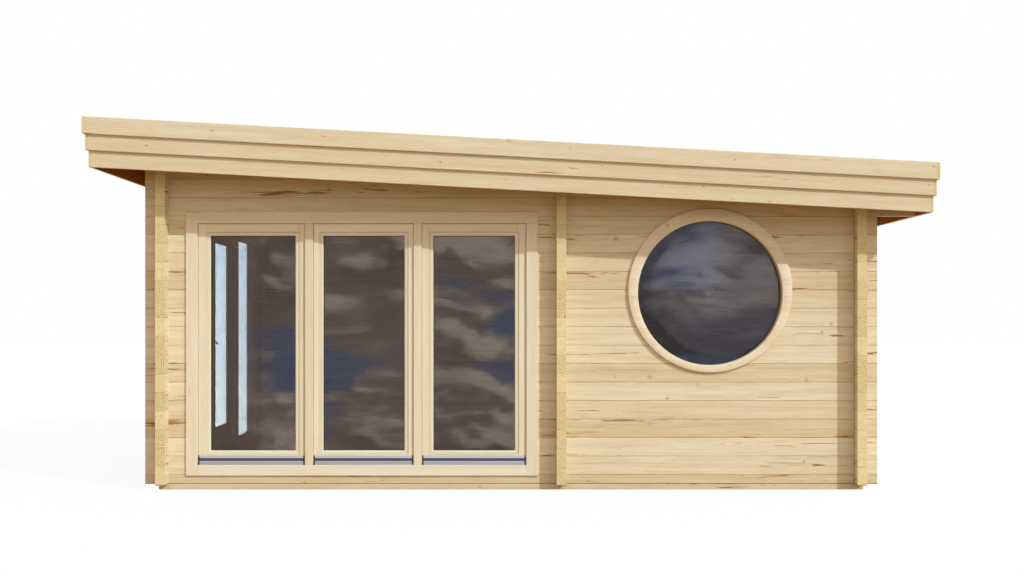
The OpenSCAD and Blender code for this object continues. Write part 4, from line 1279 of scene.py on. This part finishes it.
def bent_bar(name, points, radius):
    """A round bar bent through points, closed flat at both ends and thinner at its tip."""
    curve = bpy.data.curves.new(name, "CURVE")
    curve.dimensions = "3D"
    curve.bevel_depth = radius
    curve.bevel_resolution = 6
    curve.resolution_u = 10
    curve.use_fill_caps = True
    spline = curve.splines.new("BEZIER")
    spline.bezier_points.add(len(points) - 1)
    for knot, point in zip(spline.bezier_points, points):
        knot.co = point
        knot.handle_left_type = knot.handle_right_type = "AUTO"
    spline.bezier_points[-1].radius = 0.55
    bent = bpy.data.objects.new(name, curve)
    bpy.context.collection.objects.link(bent)
    graph = bpy.context.evaluated_depsgraph_get()
    mesh = bpy.data.meshes.new_from_object(bent.evaluated_get(graph))
    bpy.data.objects.remove(bent)
    return mesh


collar = [(COLLAR_R * math.cos(2 * math.pi * k / COLLAR_SIDES),
           COLLAR_R * math.sin(2 * math.pi * k / COLLAR_SIDES)) for k in range(COLLAR_SIDES)]
barrel = [(u * 0.65, v * 0.65) for u, v in collar]
levers = bmesh.new()
plates = Bars(99)
for face, out in ((leaf_low[0], -1), (leaf_high[0], 1)):
    tip = Vector((face + out * neck, handle_y + reach, handle_z - LEVER_DROOP))
    bend = Vector((face + out * neck, handle_y + 0.012, handle_z))
    path = [Vector((face, handle_y, handle_z)),
            Vector((face + out * (neck - 0.010), handle_y, handle_z)), bend,
            bend.lerp(tip, 0.5) + UP * 0.003, tip - ACROSS * 0.004, tip]
    levers.from_mesh(bent_bar("lever", path, LEVER_R))
    plate_z = handle_z - PLATE_FOOT
    plates.bar((face, handle_y - PLATE[0] / 2, plate_z),
               (face, handle_y - PLATE[0] / 2, plate_z + PLATE[1]), ACROSS, DEEP * out,
               rounded(0, 0, PLATE[0], PLATE[2], 0.0022, 3), ease=0.002)
    place = Vector((face + out * 0.004, handle_y, handle_z))
    plates.bar(place, place + DEEP * out * 0.006, ACROSS, UP, collar, ease=0.0015)
    place = place - UP * LOCK_DROP
    plates.bar(place, place + DEEP * out * 0.005, ACROSS, UP, barrel, ease=0.001)
lever_mesh = bpy.data.meshes.new("levers")
levers.to_mesh(lever_mesh)
levers.free()
lever_mesh.shade_smooth()
fit("door_levers", lever_mesh, powder_coat, "door", "black_steel", "door_handles")
fit("door_handle_plates", plates, powder_coat, "door", "black_steel")
points = [(leaf_low[0] - PLATE[2], handle_y, handle_z + dz) for dz in (0.042, -0.138)]
screws = made_by(screw_tree, points_mesh(points), Screw=head, Seed=99, Finish=powder_coat)
fit("door_handle_screws", screws, powder_coat, "door", "black_steel")
bpy.data.objects.remove(head)

# ---- Studio ----
# A wide pale floor, a key light from the front right and an even soft sky. The floor is white
# to the camera alone, and throws back to the object the warm light that bare ground does.

floor_mesh = bpy.data.meshes.new("studio_floor")
REACH = 60.0
WHITE = (1, 1, 1, 1)
BARE_GROUND = (0.31, 0.195, 0.080, 1)
floor_mesh.from_pydata([(-REACH, -REACH, 0), (REACH, -REACH, 0), (REACH, REACH, 0),
                        (-REACH, REACH, 0)], [], [(0, 1, 2, 3)])
floor = bpy.data.objects.new("studio_floor", floor_mesh)
bpy.context.collection.objects.link(floor)
floor.visible_glossy = False
floor.visible_transmission = False
floor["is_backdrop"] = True
floor_paint, tree = new_material("studio_floor_paint")
path = add(tree, "ShaderNodeLightPath")
matt = add(tree, "ShaderNodeBsdfDiffuse", {"Color": BARE_GROUND})[0]
shown = add(tree, "ShaderNodeBsdfDiffuse", {"Color": (0.9, 0.9, 0.9, 1)})[0]
white = add(tree, "ShaderNodeEmission", {"Color": WHITE, "Strength": 1.0})[0]
seen = add(tree, "ShaderNodeMixShader", {0: 0.93, 1: shown, 2: white})[0]
surface = add(tree, "ShaderNodeMixShader", {0: path["Is Camera Ray"], 1: matt, 2: seen})[0]
add(tree, FINISH, {0: surface})
floor_mesh.materials.append(floor_paint)

sun = bpy.data.lights.new("key_light", "SUN")
sun.energy = 2.18
sun.color = (0.92, 1.0, 1.06)
sun.angle = math.radians(0.9)
sun_object = bpy.data.objects.new("key_light", sun)
bpy.context.collection.objects.link(sun_object)
TO_SUN = Vector((1.22, -1.0, 1.14))
sun_object.rotation_euler = TO_SUN.to_track_quat("Z", "Y").to_euler()

# The panes mirror broken cloud, and pale sky shows where two panes line up. What lights the
# object is a plain soft sky, brighter on the side of the key light. Directions are unit vectors.
CLOUD_SHIFT = 8.7
LEE_STEP = (0.007, 0.0, 0.014)
SUNNY_SPOT = (0.152, -1.0, 0.034)
CLOUD_SHADE, CLOUD_LIT = (0.45, 0.34, 0.32, 1), (1.90, 1.55, 1.34, 1)
CLOUD_GAP, DARK_BANK = (0.38, 0.44, 0.74, 1), (0.58, 0.43, 0.37, 1)
GREYER, HAZE = (0.90, 0.99, 1.10, 1), (0.75, 0.98, 1.50, 1)
HIGH_SKY = (0.90, 0.88, 0.94, 1)
LOW_BEHIND, HIGH_BEHIND = (4.9, 6.0, 7.2, 1), (3.9, 5.1, 6.6, 1)
world = bpy.data.worlds.new("soft_sky")
world.use_nodes = True
bpy.context.scene.world = world
tree = world.node_tree
tree.nodes.clear()
path = add(tree, "ShaderNodeLightPath")
way = add(tree, "ShaderNodeTexCoord")["Generated"]
towards_x, towards_y, towards_z = add(tree, SPLIT, {0: way})
even = add(tree, MATHS, {0: towards_x, 1: 0.38, 2: 0.96}, operation="MULTIPLY_ADD")[0]
soft = add(tree, VECTOR, {0: (0.98, 0.92, 0.87), "Scale": even}, operation="SCALE")[0]
soft = add(tree, MIX, {0: path["Is Camera Ray"], BELOW: soft, ABOVE: WHITE},
           data_type="RGBA")[BLEND]

spread = add(tree, VECTOR, {0: way, 1: (1.0, 1.0, 1.9)}, operation="MULTIPLY")[0]
swirl = add(tree, NOISE, {"Vector": spread, "Scale": 14.0, "Detail": 1.0})["Color"]
spread = add(tree, VECTOR, {0: swirl, 1: (0.04, 0.04, 0.04), 2: spread},
             operation="MULTIPLY_ADD")[0]


def cloud_bank(shift):
    """How thick the cloud stands in a direction, moved by shift: slow banks with billowed edges."""
    at = add(tree, VECTOR, {0: spread, 1: shift}, operation="ADD")[0]
    banks = add(tree, NOISE, {"Vector": at, "Scale": 9.0, "Detail": 5.0, "Roughness": 0.52})[0]
    billows = add(tree, "ShaderNodeTexVoronoi", {"Vector": at, "Scale": 24.0, "Detail": 1.0,
                                                 "Roughness": 0.5})["Distance"]
    return add(tree, MATHS, {0: billows, 1: -0.10, 2: banks}, operation="MULTIPLY_ADD")[0]


banks = cloud_bank((CLOUD_SHIFT, 0.0, 0.0))
# The light comes from above on the right, so the banks are bright on that side
lee = cloud_bank((CLOUD_SHIFT + LEE_STEP[0], LEE_STEP[1], LEE_STEP[2]))
relief = add(tree, MATHS, {0: banks, 1: lee}, operation="SUBTRACT")[0]
relief = add(tree, RANGE, {0: relief, 1: -0.04, 2: 0.09, 3: 0.0, 4: 1.0},
             interpolation_type="SMOOTHSTEP")[0]
relief = add(tree, MATHS, {0: relief, 1: 1.6}, operation="POWER")[0]
thick = add(tree, RANGE, {0: banks, 1: 0.26, 2: 0.40, 3: 0.0, 4: 1.0},
            interpolation_type="SMOOTHSTEP")[0]
# No gap opens on the right
right = add(tree, RANGE, {0: towards_x, 1: 0.07, 2: 0.09, 3: 0.0, 4: 1.0})[0]
thick = add(tree, MATHS, {0: thick, 1: right}, operation="MAXIMUM")[0]
body = add(tree, RANGE, {0: banks, 1: 0.40, 2: 0.60, 3: 0.14, 4: 0.0})[0]
body = add(tree, MATHS, {0: relief, 1: 0.62, 2: body}, operation="MULTIPLY_ADD")[0]
# The sun stands behind a thin place in the cloud
aside = add(tree, VECTOR, {0: way, 1: SUNNY_SPOT}, operation="SUBTRACT")[0]
aside = add(tree, VECTOR, {0: aside, 1: (1.0, 0.0, 1.3)}, operation="MULTIPLY")[0]
aside = add(tree, VECTOR, {0: aside}, operation="LENGTH")["Value"]
thin = add(tree, RANGE, {0: aside, 1: 0.005, 2: 0.075, 3: 1.0, 4: 0.0},
           interpolation_type="SMOOTHSTEP")[0]
wisps = add(tree, NOISE, {"Vector": spread, "Scale": 30.0, "Detail": 4.0})[0]
glow = add(tree, RANGE, {0: wisps, 1: 0.42, 2: 0.60, 3: 0.05, 4: 1.4})[0]
body = add(tree, MATHS, {0: thin, 1: glow, 2: body}, operation="MULTIPLY_ADD", use_clamp=True)[0]
clouds = add(tree, MIX, {0: body, BELOW: CLOUD_SHADE, ABOVE: CLOUD_LIT},
             data_type="RGBA")[BLEND]
clouds = add(tree, MIX, {0: thick, BELOW: CLOUD_GAP, ABOVE: clouds}, data_type="RGBA")[BLEND]
# On the right the cloud is greyer, and haze lies on the horizon
cool = add(tree, MIX, {0: right, BELOW: WHITE, ABOVE: GREYER}, data_type="RGBA")[BLEND]
clouds = add(tree, VECTOR, {0: clouds, 1: cool}, operation="MULTIPLY")[0]
lift = add(tree, MATHS, {0: thin, 1: glow}, operation="MULTIPLY")[0]
lift = add(tree, MATHS, {0: lift, 1: 0.55, 2: 1.0}, operation="MULTIPLY_ADD")[0]
clouds = add(tree, VECTOR, {0: clouds, "Scale": lift}, operation="SCALE")[0]
haze = add(tree, RANGE, {0: towards_z, 1: -0.030, 2: -0.026, 3: 1.0, 4: 0.0})[0]
haze = add(tree, MATHS, {0: haze, 1: right}, operation="MULTIPLY")[0]
# An even dark bank stands low in front, on the far left
gloom = add(tree, RANGE, {0: towards_x, 1: -0.215, 2: -0.180, 3: 1.0, 4: 0.0})[0]
front = add(tree, MATHS, {0: towards_y, 1: -0.9}, operation="LESS_THAN")[0]
gloom = add(tree, MATHS, {0: gloom, 1: front}, operation="MULTIPLY")[0]
# Clear bright sky stands over the clouds
clear = add(tree, RANGE, {0: towards_z, 1: 0.22, 2: 0.45, 3: 0.0, 4: 1.0})[0]
for share, paint in ((haze, HAZE), (gloom, DARK_BANK), (clear, HIGH_SKY)):
    clouds = add(tree, MIX, {0: share, BELOW: clouds, ABOVE: paint}, data_type="RGBA")[BLEND]
low_sky = add(tree, RANGE, {0: towards_z, 1: -0.09, 2: 0.06, 3: 0.0, 4: 1.0})[0]
sky = add(tree, MIX, {0: low_sky, BELOW: LOW_BEHIND, ABOVE: HIGH_BEHIND},
          data_type="RGBA")[BLEND]

# Only rays that no matt surface has scattered meet the clouds and the sky behind the object
unlit = add(tree, MATHS, {0: path["Diffuse Depth"], 1: 0.5}, operation="LESS_THAN")[0]
ahead = add(tree, MATHS, {0: towards_y, 1: 0.9}, operation="GREATER_THAN")[0]
through = add(tree, MATHS, {0: ahead, 1: path["Is Transmission Ray"]}, operation="MULTIPLY")[0]
seen = add(tree, MIX, {0: through, BELOW: clouds, ABOVE: sky}, data_type="RGBA")[BLEND]
shiny = add(tree, MATHS, {0: unlit, 1: path["Is Glossy Ray"]}, operation="MULTIPLY")[0]
plain = add(tree, "ShaderNodeBackground", {0: soft})[0]
mirrored = add(tree, "ShaderNodeBackground", {0: seen})[0]
light = add(tree, "ShaderNodeMixShader", {0: shiny, 1: plain, 2: mirrored})[0]
add(tree, "ShaderNodeOutputWorld", {0: light})

# The camera stands square to the long wall, a little right of its middle. A small shift frames
# the cabin.
STAND_OFF = 9.386
EYE_X, EYE_Z = 0.022, 1.250
camera = bpy.data.cameras.new("camera")
camera.sensor_width = 36.0
camera.lens = 45.15
camera.shift_x = -0.0021
camera.shift_y = 0.0297
camera.clip_end = 200.0
camera_object = bpy.data.objects.new("camera", camera)
bpy.context.collection.objects.link(camera_object)
camera_object.location = (EYE_X, wall_face - STAND_OFF, EYE_Z)
camera_object.rotation_euler = (math.radians(90), 0, 0)
bpy.context.scene.camera = camera_object
bpy.context.scene.view_settings.view_transform = "Standard"

low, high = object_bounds()
